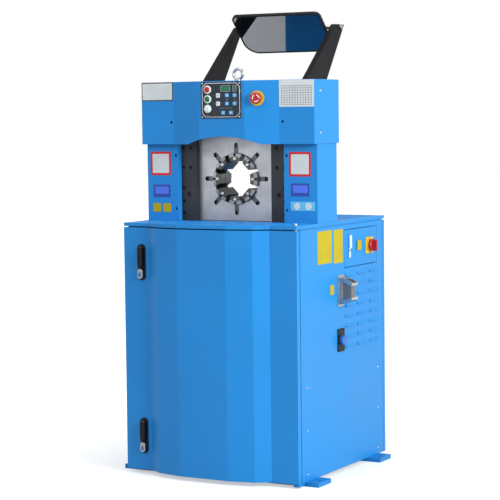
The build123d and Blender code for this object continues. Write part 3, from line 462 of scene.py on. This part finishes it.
def ground(name, rgb, roughness, depth, stretch=(900.0, 900.0, 12.0), metallic=1.0, edge=0.0008, spread=0.3):
    """Ground or rolled steel: drawn-out marks in height, tone and gloss, with edges painted bright as rubbed
    wear and painted highlight.
    """
    finish, tree, shader = new_finish(name)
    marks = use_group(tree, "grinding marks", Stretch=stretch)
    edges = use_group(tree, "edge wear and highlight", Radius=edge, Amount=0.8)
    tone = mixed(tree, ramp(tree, marks["Tint"], 0.35, 0.65), scaled(rgb, 1 - spread), scaled(rgb, 1 + spread))
    # Edges painted brighter: rubbed wear and painted highlight.
    tree.links.new(mixed(tree, edges["Mask"], tone, scaled(rgb, 1.6)), shader.inputs["Base Color"])
    rough = node(tree, "MapRange", {"Value": marks["Tint"], "From Min": 0.3, "From Max": 0.7,
                                    "To Min": roughness + 0.08, "To Max": roughness - 0.08})
    tree.links.new(rough.outputs["Result"], shader.inputs["Roughness"])
    tree.links.new(bump(tree, marks["Height"], depth, edges["Normal"]), shader.inputs["Normal"])
    shader.inputs["Metallic"].default_value = metallic
    return finish


def plate_finish(name, rgb, roughness, depth):
    """Ground plate with painted shade on the walls of its slots and bore, found as the faces that look neither
    front nor back.
    """
    finish, tree, shader = new_finish(name)
    marks = use_group(tree, "grinding marks", Stretch=(700.0, 700.0, 8.0))
    edges = use_group(tree, "edge wear and highlight", Radius=0.0008, Amount=0.8)
    facing_out = node(tree, "NewGeometry").outputs["True Normal"]
    front = maths(tree, "ABSOLUTE", node(tree, "SeparateXYZ", {0: facing_out}).outputs["Y"])
    tone = mixed(tree, ramp(tree, marks["Tint"], 0.35, 0.65), scaled(rgb, 0.82), scaled(rgb, 1.14))
    # Painted shade: slot and bore walls, which face sideways, are darkened to near black.
    walls = mixed(tree, ramp(tree, front, 0.4, 0.6), scaled(rgb, 0.08), tone)
    # Edges painted brighter: rubbed wear and painted highlight.
    tree.links.new(mixed(tree, edges["Mask"], walls, scaled(rgb, 1.4)), shader.inputs["Base Color"])
    rough = node(tree, "MapRange", {"Value": marks["Tint"], "From Min": 0.3, "From Max": 0.7,
                                    "To Min": roughness + 0.08, "To Max": roughness - 0.08})
    tree.links.new(rough.outputs["Result"], shader.inputs["Roughness"])
    tree.links.new(bump(tree, marks["Height"], depth, edges["Normal"]), shader.inputs["Normal"])
    shader.inputs["Metallic"].default_value = 1.0
    return finish


def jaw_finish(name, carrier, die, seat, depth):
    """Hardened die inside the seat circle and carrier outside it, by distance from the crimp axis; what lies
    behind the slot plate's front gets painted shade.
    """
    finish, tree, shader = new_finish(name)
    marks = use_group(tree, "grinding marks", Stretch=(500.0, 12.0, 500.0))
    edges = use_group(tree, "edge wear and highlight", Radius=0.0008, Amount=0.9)
    where = node(tree, "TexCoord").outputs["Object"]
    axis = (0.0, 0.0, CRIMP_HEIGHT)
    off = node(tree, "VectorMath", {0: where, 1: axis}, operation="SUBTRACT").outputs["Vector"]
    flat = node(tree, "VectorMath", {0: off, 1: (1.0, 0.0, 1.0)}, operation="MULTIPLY").outputs["Vector"]
    radius = node(tree, "VectorMath", {0: flat}, operation="LENGTH").outputs["Value"]
    is_carrier = ramp(tree, radius, seat - 0.0001, seat + 0.0001)
    base = mixed(tree, is_carrier, die, carrier)
    # Painted shade: the jaw behind the front of the slot plate is darkened to about a third of the carrier
    # colour.
    depth_of = node(tree, "SeparateXYZ", {0: where}).outputs["Y"]
    behind = ramp(tree, depth_of, SLOT_PLATE_FRONT - 0.001, SLOT_PLATE_FRONT + 0.001)
    base = mixed(tree, behind, base, scaled(carrier, 0.35))
    dark = mixed(tree, is_carrier, scaled(die, 0.45), scaled(carrier, 0.22))
    tone = mixed(tree, ramp(tree, marks["Tint"], 0.35, 0.65), dark, base)
    # Edges painted brighter: rubbed wear and painted highlight.
    tree.links.new(mixed(tree, edges["Mask"], tone, scaled(carrier, 1.4)), shader.inputs["Base Color"])
    tree.links.new(ramp(tree, marks["Tint"], 1.15, -0.35), shader.inputs["Roughness"])
    tree.links.new(bump(tree, marks["Height"], depth, edges["Normal"]), shader.inputs["Normal"])
    shader.inputs["Metallic"].default_value = 1.0
    return finish


def finish_nodes(finish, *names):
    """Gives CAD nodes their material."""
    for name in names:
        mesh = frame["nodes"][name].data
        mesh.materials.clear()
        mesh.materials.append(finish)


# ------------------------------------------------------------------ operators
class CRIMPER_OT_sheet_metal(Operator):
    """Powder coat on the cabinet, the deck, the head cover and the pillars"""

    bl_idname = "crimper.sheet_metal"
    bl_label = "Painted sheet metal"

    def execute(self, context):
        p = context.scene.crimper_paint
        blue = painted("blue powder coat", p.blue, p.worn_and_highlit_edge, p.roughness, p.peel, p.edge)
        finish_nodes(blue, "left_panel", "right_panel", "rear_panel", "front_door", "box_door", "head_cover",
                     "pillar_covers", "deck_plate")
        inner = painted("blue inner coat", scaled(p.blue, 0.85), p.worn_and_highlit_edge, 0.5, p.peel, 0.001, 0.2, 0.1)
        finish_nodes(inner, "base_frame", "cabinet_frame", "press_frame")
        black = painted("black powder coat", p.black, (0.04, 0.04, 0.045), 0.5, p.peel, 0.0015, 0.3, 0.0, 0.10)
        finish_nodes(black, "mirror_arms")
        return {"FINISHED"}


class CRIMPER_OT_press(Operator):
    """Ground, hardened and blackened steel of the press and its dies"""

    bl_idname = "crimper.press"
    bl_label = "Press and dies"

    def execute(self, context):
        m = context.scene.crimper_metal
        finish_nodes(plate_finish("ground plate", m.steel, 0.45, m.grain), "face_plates")
        finish_nodes(ground("machined steel", scaled(m.steel, 0.8), 0.4, m.grain), "upper_yoke", "lower_yoke",
                     "cylinder_barrel", "valve_block")
        finish_nodes(jaw_finish("jaw steel", m.steel, m.die, DIE_SEAT, m.grain), *JAWS)
        rail = ground("blackened rail", m.rail, 0.6, m.grain, (300.0, 300.0, 40.0), 0.1)
        finish_nodes(rail, "guide_rails")
        finish_nodes(ground("blackened screw", scaled(m.rail, 0.6), 0.4, m.grain, BROAD_GRAIN, 0.6),
                     "rail_bolts")
        finish_nodes(ground("polished ram", (0.72, 0.73, 0.75), 0.14, 0.00001), "cylinder_ram")
        finish_nodes(ground("drawn pipe", scaled(m.zinc, 0.8), 0.3, 0.00002), "oil_pipes")
        return {"FINISHED"}


class CRIMPER_OT_hydraulics(Operator):
    """Tank, motor and pump behind the press"""

    bl_idname = "crimper.hydraulics"
    bl_label = "Hydraulics"

    def execute(self, context):
        p, m = context.scene.crimper_paint, context.scene.crimper_metal
        grey = painted("grey machine enamel", (0.20, 0.22, 0.24), (0.4, 0.4, 0.4), 0.45, p.peel, 0.0015)
        finish_nodes(grey, "motor", "oil_tank")
        finish_nodes(moulded("cast aluminium", m.cast, 0.5, 0.0012, 0.0001), "pump")
        return {"FINISHED"}


class CRIMPER_OT_fittings(Operator):
    """Screws, hinge pins, latches, switch, connector, outlet and eye bolt"""

    bl_idname = "crimper.fittings"
    bl_label = "Fittings"

    def execute(self, context):
        m = context.scene.crimper_metal
        zinc = ground("zinc plating", m.zinc, 0.34, 0.00002, EVEN_GRAIN, edge=0.0005)
        finish_nodes(ground("lock housing", scaled(m.zinc, 0.55), 0.4, 0.00002, BROAD_GRAIN), "latch_locks")
        finish_nodes(zinc, "panel_screws", "hinge_pins", "latch_cam_upper", "latch_cam_lower")
        finish_nodes(ground("plated eye", scaled(m.zinc, 0.85), 0.34, 0.00002, BROAD_GRAIN, edge=0.001),
                     "eye_bolt", "mirror_rod")
        black = moulded("black nylon", (0.006, 0.006, 0.008), 0.45, level=0.15)
        finish_nodes(black, "latch_plates", "latch_handle_upper", "latch_handle_lower", "socket_plate",
                     "mirror_housing")
        finish_nodes(moulded("white plastic", (0.80, 0.81, 0.83), 0.3, coat=0.3), "box_latch", "button_bezels",
                     "white_button")
        finish_nodes(moulded("yellow plastic", (0.72, 0.42, 0.006), 0.4), "switch_plate", "estop_ring")
        finish_nodes(moulded("red plastic", (0.42, 0.006, 0.012), 0.35, coat=0.15), "switch_knob",
                     "stop_button", "estop_button")
        finish_nodes(moulded("green plastic", (0.004, 0.11, 0.03), 0.35, coat=0.15), "start_button")
        finish_nodes(moulded("blue plastic", (0.02, 0.12, 0.45), 0.4), "socket_cap")
        cast = ground("die casting", m.cast, 0.42, 0.00006, (160.0, 160.0, 160.0), 0.9)
        finish_nodes(cast, "connector_base")
        finish_nodes(ground("dark casting", scaled(m.cast, 0.4), 0.5, 0.00006, (160.0, 160.0, 160.0), 0.6),
                     "connector_hood")
        finish_nodes(ground("stamped lever", m.zinc, 0.3, 0.00002, BROAD_GRAIN),
                     "connector_lever_upper", "connector_lever_lower")
        return {"FINISHED"}


class CRIMPER_OT_mirror(Operator):
    """Silvered rear-view mirror"""

    bl_idname = "crimper.mirror"
    bl_label = "Mirror glass"

    def execute(self, context):
        finish, tree, shader = new_finish("silvered glass")
        grain = use_group(tree, "surface grain", Cell=0.004, Spread=0.08)
        shader.inputs["Metallic"].default_value = 1.0
        tree.links.new(mixed(tree, grain["Variation"], (0.20, 0.21, 0.23), (0.24, 0.25, 0.27)),
                       shader.inputs["Base Color"])
        rough = node(tree, "MapRange", {"Value": grain["Variation"], "To Min": 0.01, "To Max": 0.05})
        tree.links.new(rough.outputs["Result"], shader.inputs["Roughness"])
        finish_nodes(finish, "mirror_glass")
        return {"FINISHED"}


class CRIMPER_OT_tread_deck(Operator):
    """Raised tread pattern on the deck plate"""

    bl_idname = "crimper.tread_deck"
    bl_label = "Tread deck"

    def execute(self, context):
        d = context.scene.crimper_deck
        count = int(TREAD_WIDTH / d.pitch)
        line = (np.arange(count) - (count - 1) / 2) * d.pitch
        gx, gy = (a.ravel() for a in np.meshgrid(line, line, indexing="ij"))
        odd = (np.add.outer(np.arange(count), np.arange(count)).ravel() % 2).astype(float)
        free = (gy < PRESS_DEPTH[0]) | (gy > PRESS_DEPTH[1])
        gx, gy, odd = gx[free], gy[free], odd[free]
        rows = np.arange(2) * d.pitch
        front_x, front_y = (a.ravel() for a in np.meshgrid(line, BOW_ROW + rows, indexing="ij"))
        reach = DECK_FRONT - np.interp(np.abs(front_x), *zip(*TREAD_REACH))
        keep = (front_y > reach + TREAD_MARGIN) & (front_y < line[0] - d.pitch * 0.6)
        gx = np.concatenate([gx, front_x[keep]])
        gy = np.concatenate([gy, front_y[keep]])
        odd = np.concatenate([odd, np.round(np.abs(front_x[keep] / d.pitch)) % 2])
        turn = np.where(odd > 0.5, np.pi / 4, -np.pi / 4)
        c, s, o, one = np.cos(turn), np.sin(turn), np.zeros_like(turn), np.ones_like(turn)
        copies = np.stack([np.stack([c, -s, o, gx], 1), np.stack([s, c, o, gy], 1),
                           np.stack([o, o, one, np.full_like(gx, DECK_TOP)], 1)], axis=1)
        t = np.arange(12) * 2 * np.pi / 12
        lens = np.stack([np.cos(t) * d.long / 2, np.sin(t) * d.wide / 2 * (1 - 0.35 * np.cos(t) ** 2)], axis=1)
        rings = stacked([lens, lens * (0.86, 0.7), lens * (0.6, 0.35)], [0.0, d.high * 0.75, d.high])
        points, faces = skin(rings, copies)
        put_mesh("tread_bumps", points, faces, "root", frame["nodes"]["deck_plate"].data.materials[0])
        return {"FINISHED"}


class CRIMPER_OT_blank_plates(Operator):
    """Blank plates on the cabinet's side, the head and the pillars"""

    bl_idname = "crimper.blank_plates"
    bl_label = "Blank plates"

    def execute(self, context):
        p = context.scene.crimper_plates
        yellow = moulded("yellow film", p.yellow, 0.5, level=0.2)
        white = moulded("white film", p.white, 0.5, level=0.2)
        black = moulded("black film", (0.01, 0.01, 0.012), 0.4)
        side, front = ((0, 1, 0), (0, 0, 1)), ((1, 0, 0), (0, 0, 1))

        def place(name, x, y, z, w, h, axes, finish, r=0.002, body="root", lift=0.0, thick=p.thick):
            origin = np.array([x, y, z]) + np.cross(*axes) * lift
            points, faces = plate_skin(w, h, r, thick, facing(origin, *axes))
            put_mesh(name, points, faces, body, finish, False)

        place("side_plate_wide", SIDE_WALL, -0.162, 0.9385, 0.128, 0.133, side, yellow)
        place("side_plate_narrow", SIDE_WALL, -0.0395, 0.9345, 0.083, 0.137, side, yellow)
        place("side_plate_small", SIDE_WALL, -0.0985, 0.761, 0.035, 0.040, side, yellow)
        box_face = frame_x("box_door")
        place("box_plate_small", box_face, 0.150, 0.9265, 0.040, 0.040, side, yellow, body="side_door")
        place("latch_frame", box_face, 0.060, 0.900, 0.0158, 0.0415, side, white, 0.007, body="side_door")
        place("latch_key_hole", box_face, 0.060, 0.910, 0.009, 0.009, side, black, 0.00449,
              body="side_door", lift=p.thick)
        place("head_plate_rim", -0.326, HEAD_FACE, 1.571, 0.152, 0.076, front, black, 0.006)
        place("head_plate", -0.326, HEAD_FACE, 1.571, 0.144, 0.068, front, white, 0.003, lift=p.thick)
        place("chart_plate", 0.324, HEAD_FACE, 1.5555, 0.156, 0.107, front, white, 0.001)
        rim = moulded("red film", p.rim, 0.5, level=0.2)
        violet = moulded("violet film", p.violet, 0.5, level=0.2)
        cyan = moulded("cyan film", p.cyan, 0.4)
        for name, x, z in (("left", -0.333, 1.274), ("right", 0.3205, 1.273)):
            place(f"pillar_rim_{name}", x, PILLAR_FACE, z, 0.098, 0.098, front, rim, 0.008)
            place(f"pillar_plate_{name}", x, PILLAR_FACE, z, 0.080, 0.080, front, white, 0.004, lift=p.thick)
        for name, x, z in (("left", -0.329, 1.160), ("right", 0.321, 1.1705)):
            place(f"pillar_blue_{name}", x, PILLAR_FACE, z, 0.082, 0.052, front, violet)
            place(f"pillar_window_{name}", x, PILLAR_FACE, z + 0.003, 0.066, 0.030, front,
                  moulded(f"pale print {name}", scaled(p.violet, 2.2), 0.35), 0.002, lift=p.thick, thick=0.0002)
        for name, x in (("a", -0.354), ("b", -0.305)):
            place(f"pillar_yellow_{name}", x, PILLAR_FACE, 1.0905, 0.038, 0.036, front, yellow, 0.005)
        place("pillar_cyan", 0.332, PILLAR_FACE, 1.10475, 0.110, 0.0365, front, cyan)
        for name, x in (("a", 0.306), ("b", 0.358)):
            place(f"pillar_disc_{name}", x, PILLAR_FACE, 1.10475, 0.029, 0.029, front, white, 0.01449,
                  lift=p.thick, thick=0.0002)
        points, faces = merged([plate_skin(0.0016, 0.076, 0.0003, 0.00015,
                                           facing((x, HEAD_FACE - p.thick, 1.548), *front))
                                for x in np.linspace(0.258, 0.390, 12)]
                               + [plate_skin(0.140, 0.0012, 0.0003, 0.00015,
                                             facing((0.324, HEAD_FACE - p.thick, z), *front))
                                  for z in np.linspace(1.510, 1.586, 9)])
        put_mesh("chart_lines", points, faces, "root", moulded("grey print", (0.16, 0.17, 0.19), 0.5), False)
        return {"FINISHED"}


def frame_x(node_name):
    """Outer face of a side node."""
    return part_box(node_name)[1].x


class CRIMPER_OT_control_panel(Operator):
    """Panel foil, border, keys, displays and corner screws"""

    bl_idname = "crimper.control_panel"
    bl_label = "Control panel"

    def execute(self, context):
        p = context.scene.crimper_panel
        finish_nodes(moulded("panel foil", p.foil, 0.5, 0.0005, level=0.2), "control_panel")
        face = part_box("control_panel")[0].y
        front = ((1, 0, 0), (0, 0, 1))

        def at(x, z, lift=0.0):
            return facing((x, face - lift, z), *front)

        border = frame_skin(chamfered(0.176, 0.138, 0.016, 96), chamfered(0.1715, 0.1335, 0.0155, 96), 0.0003,
                            at(0, PANEL_HEIGHT))
        put_mesh("panel_border", *border, "root", ground("silver print", p.border, 0.4, 0.00001), False)
        blue = moulded("blue key", p.key_blue, 0.35, coat=0.3)
        white = moulded("white key", p.key_white, 0.35, coat=0.3)
        blue_at = [(0.028, 1.551), (0.0635, 1.551), (0.028, 1.518), (0.0635, 1.518),
                   (0.010, 1.4815), (0.046, 1.4815)]
        white_at = [(-0.0135, 1.551), (-0.0135, 1.518)]
        blue_keys = [dome_skin(p.key, p.key * 0.85, 0.0022, p.dome, at(x, z)) for x, z in blue_at]
        put_mesh("blue_keys", *merged(blue_keys), "root", blue)
        white_keys = [dome_skin(p.key, p.key, 0.0022, p.dome, at(x, z)) for x, z in white_at]
        put_mesh("white_keys", *merged(white_keys), "root", white)
        bars = []
        for x, z in blue_at:
            bars.append(plate_skin(0.009, 0.0020, 0.0005, 0.0002, at(x, z, p.dome)))
            bars.append(plate_skin(0.0020, 0.009, 0.0005, 0.0002, at(x, z, p.dome)))
        put_mesh("key_marks", *merged(bars), "root", moulded("white print", (0.85, 0.86, 0.87), 0.5), False)
        dark = []
        for x, z in white_at:
            dark.append(plate_skin(0.011, 0.0012, 0.0005, 0.0002, at(x, z, p.dome)))
            dark.append(plate_skin(0.0012, 0.011, 0.0005, 0.0002, at(x, z, p.dome)))
            dark += [plate_skin(0.005, 0.0014, 0.0006, 0.0002, at(x + side * 0.0145, z)) for side in (-1, 1)]
        put_mesh("key_lines", *merged(dark), "root", moulded("grey key print", (0.16, 0.17, 0.19), 0.5), False)
        legend_at = [(0.028, 1.5345), (0.0635, 1.5345), (-0.002, 1.500), (0.012, 1.500), (0.028, 1.500),
                     (0.046, 1.500), (-0.0615, 1.4715)]
        legend = [plate_skin(0.010, 0.0013, 0.0006, 0.0002, at(x, z)) for x, z in legend_at]
        legend_print = moulded("legend print", (0.42, 0.44, 0.48), 0.5)
        put_mesh("panel_legend", *merged(legend), "root", legend_print, False)
        windows = merged([frame_skin(rounded(w + 0.004, 0.025, 0.002), rounded(w, 0.021, 0.001), 0.0012,
                                     at(x, DISPLAY_HEIGHT)) for x, w in DISPLAYS])
        put_mesh("display_frames", *windows, "root", moulded("display frame", (0.30, 0.31, 0.33), 0.4), False)
        glass, tree, shader = new_finish("display glass")
        grain = use_group(tree, "surface grain", Cell=0.0008, Spread=0.02)
        tree.links.new(mixed(tree, grain["Variation"], scaled(p.glow, 0.35), scaled(p.glow, 0.55)),
                       shader.inputs["Base Color"])
        shader.inputs["Roughness"].default_value = 0.12
        put_mesh("display_windows", *merged([plate_skin(w, 0.021, 0.001, 0.0006, at(x, DISPLAY_HEIGHT))
                                             for x, w in DISPLAYS]), "root", glass, False)
        lit, tree, shader = new_finish("display segments")
        grain = use_group(tree, "surface grain", Cell=0.0008, Spread=0.02)
        tree.links.new(mixed(tree, grain["Variation"], p.glow, scaled(p.glow, 1.3)),
                       shader.inputs["Base Color"])
        digit_bars = [(0, up, 0.0048, 0.0009) for up in (1, 0, -1)]
        digit_bars += [(across, up, 0.0009, 0.0048) for up in (0.5, -0.5) for across in (-1, 1)]
        segments = []
        for x in DIGITS:
            for across, up, w, h in digit_bars:
                spot = at(x + across * 0.0030, DISPLAY_HEIGHT + up * 0.0060, 0.0006)
                segments.append(plate_skin(w, h, 0.0004, 0.0002, spot))
        put_mesh("display_segments", *merged(segments), "root", lit, False)
        places = np.stack([at(sx * 0.0865, PANEL_HEIGHT + sz * 0.0675) for sx in (-1, 1) for sz in (-1, 1)])
        brass = ground("tan zinc", (0.62, 0.50, 0.34), 0.35, 0.00002, EVEN_GRAIN)
        put_mesh("panel_corner_screws", *socket_screw_skin(0.0065, 0.0016, places), "root", brass)
        return {"FINISHED"}


class CRIMPER_OT_die_screws(Operator):
    """Socket screws that hold the dies, and the black catches of the carriers"""

    bl_idname = "crimper.die_screws"
    bl_label = "Die screws"

    def execute(self, context):
        m = context.scene.crimper_metal
        bright = ground("bright screw", scaled(m.zinc, 1.3), 0.3, 0.00002, EVEN_GRAIN)
        black = moulded("oiled catch", (0.006, 0.006, 0.007), 0.5, level=0.15)
        for i, jaw in enumerate(JAWS):
            a = math.radians(90 - 45 * i)
            out = np.array([math.cos(a), 0, math.sin(a)])
            over = np.array([-math.sin(a), 0, math.cos(a)])
            centre = np.array([0, 0, CRIMP_HEIGHT])
            screw = centre + out * SCREW_CIRCLE + np.array([0, DIE_FRONT + 0.005, 0])
            place = np.column_stack([out, over, np.cross(out, over), screw])
            skin_of = socket_screw_skin(0.0125, 0.0062, place[None])
            put_mesh(f"die_screw_{i + 1}", *skin_of, BODY_OF[jaw], bright)
            catch = centre + out * CATCH_CIRCLE + np.array([0, DIE_FRONT + 0.004, 0])
            place = np.column_stack([out, over, np.cross(out, over), catch])
            skin_of = dome_skin(0.0122, 0.0122, 0.00609, 0.0045, place, 0.25)
            put_mesh(f"die_catch_{i + 1}", *skin_of, BODY_OF[jaw], black)
        return {"FINISHED"}


class CRIMPER_OT_lock_caps(Operator):
    """Blue caps over the keyholes of the door's two locks"""

    bl_idname = "crimper.lock_caps"
    bl_label = "Lock caps"

    def execute(self, context):
        low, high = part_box("latch_locks")
        x = (low.x + high.x) / 2
        places = [facing((x, low.y, z), (1, 0, 0), (0, 0, 1)) for z in LOCK_HEIGHTS]
        skins = [dome_skin(0.0105, 0.017, 0.0045, 0.0018, place, 0.2) for place in places]
        put_mesh("lock_caps", *merged(skins), "door", moulded("blue cap", (0.02, 0.10, 0.42), 0.35, coat=0.2))
        return {"FINISHED"}


class CRIMPER_OT_stop_arrows(Operator):
    """White turning marks on the emergency stop"""

    bl_idname = "crimper.stop_arrows"
    bl_label = "Emergency stop marks"

    def execute(self, context):
        low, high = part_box("estop_button")
        out = np.array([ESTOP_OUT[0], ESTOP_OUT[1], 0.0])
        right = np.array([-ESTOP_OUT[1], ESTOP_OUT[0], 0.0])
        up = np.array([0.0, 0.0, 1.0])
        middle = np.array([(low.x + high.x) / 2, (low.y + high.y) / 2, (low.z + high.z) / 2])
        points = np.array([v.co for v in frame["nodes"]["estop_button"].data.vertices])
        front = ((points - middle) @ out).max()
        skins = []
        for i in range(3):
            t = np.radians(np.linspace(0, 82, 16) + 120 * i)
            inner = np.stack([np.cos(t), np.sin(t)], 1) * 0.0115
            outer = np.stack([np.cos(t), np.sin(t)], 1) * 0.0150
            loop = np.concatenate([outer, inner[::-1]])
            rings = stacked([loop, loop], [0.0, 0.0004])
            place = np.column_stack([right, up, np.cross(right, up), middle + out * front])
            skins.append(strip(rings, place))
        white = moulded("white marks", (0.85, 0.85, 0.86), 0.4)
        put_mesh("estop_marks", *merged(skins), BODY_OF["estop_button"], white, False)
        return {"FINISHED"}


def strip(rings, place):
    """Curved bar: two outlines joined by quads, each face paved between its outer and inner run."""
    m = rings.shape[1]
    points = rings.reshape(-1, 3) @ place[:, :3].T + place[:, 3]
    i = np.arange(m)
    j = np.roll(i, -1)
    walls = np.stack([i, j, j + m, i + m], axis=1)
    k = np.arange(m // 2 - 1)
    top = np.stack([k, k + 1, m - 2 - k, m - 1 - k], axis=1)
    return points, [walls, top + m, top[:, ::-1]]


class CRIMPER_OT_stage(Operator):
    """Floor, studio light and camera"""

    bl_idname = "crimper.stage"
    bl_label = "Studio"

    def execute(self, context):
        scene, s = context.scene, context.scene.crimper_stage
        scene.view_settings.view_transform = "Standard"
        half = s.floor / 2
        mesh = bpy.data.meshes.new("floor")
        corners = [(-half, -half, 0), (half, -half, 0), (half, half, 0), (-half, half, 0)]
        mesh.from_pydata(corners, [], [(0, 1, 2, 3)])
        floor = bpy.data.objects.new("floor", mesh)
        scene.collection.objects.link(floor)
        finish, tree, shader = new_finish("studio floor")
        shader.inputs["Base Color"].default_value = (0.55, 0.56, 0.57, 1)
        shader.inputs["Roughness"].default_value = 0.8
        path = node(tree, "LightPath").outputs
        seen = maths(tree, "ADD", path["Is Camera Ray"], path["Is Glossy Ray"])
        seen = maths(tree, "ADD", seen, path["Is Transmission Ray"], True)
        where = node(tree, "TexCoord").outputs["Object"]
        away = node(tree, "VectorMath", {0: where}, operation="LENGTH").outputs["Value"]
        white = node(tree, "MapRange", {"Value": away, "From Min": 0.4, "From Max": 2.2,
                                        "To Min": 0.5, "To Max": 1.0})
        glow = node(tree, "Emission", {"Color": (1, 1, 1, 1),
                                       "Strength": maths(tree, "MULTIPLY", seen, white.outputs["Result"])})
        add = node(tree, "AddShader", {0: shader.outputs["BSDF"], 1: glow.outputs["Emission"]})
        tree.links.new(add.outputs["Shader"], tree.nodes["Material Output"].inputs["Surface"])
        mesh.materials.append(finish)
        world = bpy.data.worlds.new("studio")
        scene.world = world
        world.use_nodes = True
        tree = world.node_tree
        path = node(tree, "LightPath").outputs
        seen = maths(tree, "ADD", path["Is Camera Ray"], path["Is Glossy Ray"])
        seen = maths(tree, "ADD", seen, path["Is Transmission Ray"], True)
        even = node(tree, "Background", {"Color": (0.96, 0.98, 1.0, 1), "Strength": s.sky})
        white = node(tree, "Background", {"Color": (1, 1, 1, 1), "Strength": 1.0})
        mix = node(tree, "MixShader", {0: seen, 1: even.outputs[0], 2: white.outputs[0]})
        tree.links.new(mix.outputs[0], tree.nodes["World Output"].inputs["Surface"])
        for name, at, size, power, tint in (
            ("side light", (5.0, -1.6, 2.6), 2.6, 310.0 * s.sun, (0.86, 1.0, 0.93)),
            ("front light", (-1.8, -5.5, 4.2), 2.6, 85.0 * s.sun, (0.97, 0.985, 1.0)),
            ("top light", (0.3, -0.6, 5.0), 2.2, 60.0 * s.sun, (1.0, 1.0, 1.0)),
        ):
            light = bpy.data.lights.new(name, "AREA")
            light.shape = "RECTANGLE"
            light.size = size
            light.size_y = size * 0.8
            light.energy = power
            light.color = tint
            lamp = bpy.data.objects.new(name, light)
            scene.collection.objects.link(lamp)
            to = np.array([0, 0, 1.0]) - np.array(at)
            lamp.matrix_world = looking(at, to / np.linalg.norm(to), 0.0)
        camera = bpy.data.cameras.new("camera")
        camera.sensor_width = 36.0
        camera.lens = s.lens
        camera.clip_end = 200
        eye = bpy.data.objects.new("camera", camera)
        scene.collection.objects.link(eye)
        a, t = math.radians(29.233), math.radians(4.332)
        ahead = (-math.sin(a) * math.cos(t), math.cos(a) * math.cos(t), -math.sin(t))
        eye.matrix_world = looking((3.62947, -6.54556, 1.47284), ahead, math.radians(-0.654))
        scene.camera = eye
        return {"FINISHED"}


def looking(at, ahead, roll):
    """Placement of a camera or lamp that looks ahead, rolled about its axis."""
    f = np.array(ahead, float)
    right = np.cross(f, (0, 0, 1))
    right /= np.linalg.norm(right)
    up = np.cross(right, f)
    r = math.cos(roll) * right + math.sin(roll) * up
    u = -math.sin(roll) * right + math.cos(roll) * up
    made = np.eye(4)
    made[:3, :4] = np.column_stack([r, u, -f, at])
    return Matrix(made.tolist())


OPERATORS = (
    CRIMPER_OT_sheet_metal,
    CRIMPER_OT_press,
    CRIMPER_OT_hydraulics,
    CRIMPER_OT_fittings,
    CRIMPER_OT_mirror,
    CRIMPER_OT_tread_deck,
    CRIMPER_OT_blank_plates,
    CRIMPER_OT_control_panel,
    CRIMPER_OT_die_screws,
    CRIMPER_OT_lock_caps,
    CRIMPER_OT_stop_arrows,
    CRIMPER_OT_stage,
)


class CRIMPER_PT_panel(Panel):
    """Pieces and settings of the hose crimping machine"""

    bl_idname = "CRIMPER_PT_panel"
    bl_label = "Hose crimping machine"
    bl_space_type = "VIEW_3D"
    bl_region_type = "UI"
    bl_category = "Crimper"

    def draw(self, context):
        for operator in OPERATORS:
            self.layout.operator(operator.bl_idname)
        for name, settings in SETTINGS.items():
            box = self.layout.box()
            group = getattr(context.scene, name)
            for key in settings.__annotations__:
                box.prop(group, key)


def register():
    for cls in (*SETTINGS.values(), *OPERATORS, CRIMPER_PT_panel):
        bpy.utils.register_class(cls)
    for name, settings in SETTINGS.items():
        setattr(bpy.types.Scene, name, PointerProperty(type=settings))


def unregister():
    for name in SETTINGS:
        delattr(bpy.types.Scene, name)
    for cls in (CRIMPER_PT_panel, *reversed(OPERATORS), *SETTINGS.values()):
        bpy.utils.unregister_class(cls)


def main():
    """Runs every step in order."""
    register()
    for operator in OPERATORS:
        group, name = operator.bl_idname.split(".")
        getattr(getattr(bpy.ops, group), name)()


if __name__ == "__main__":
    main()
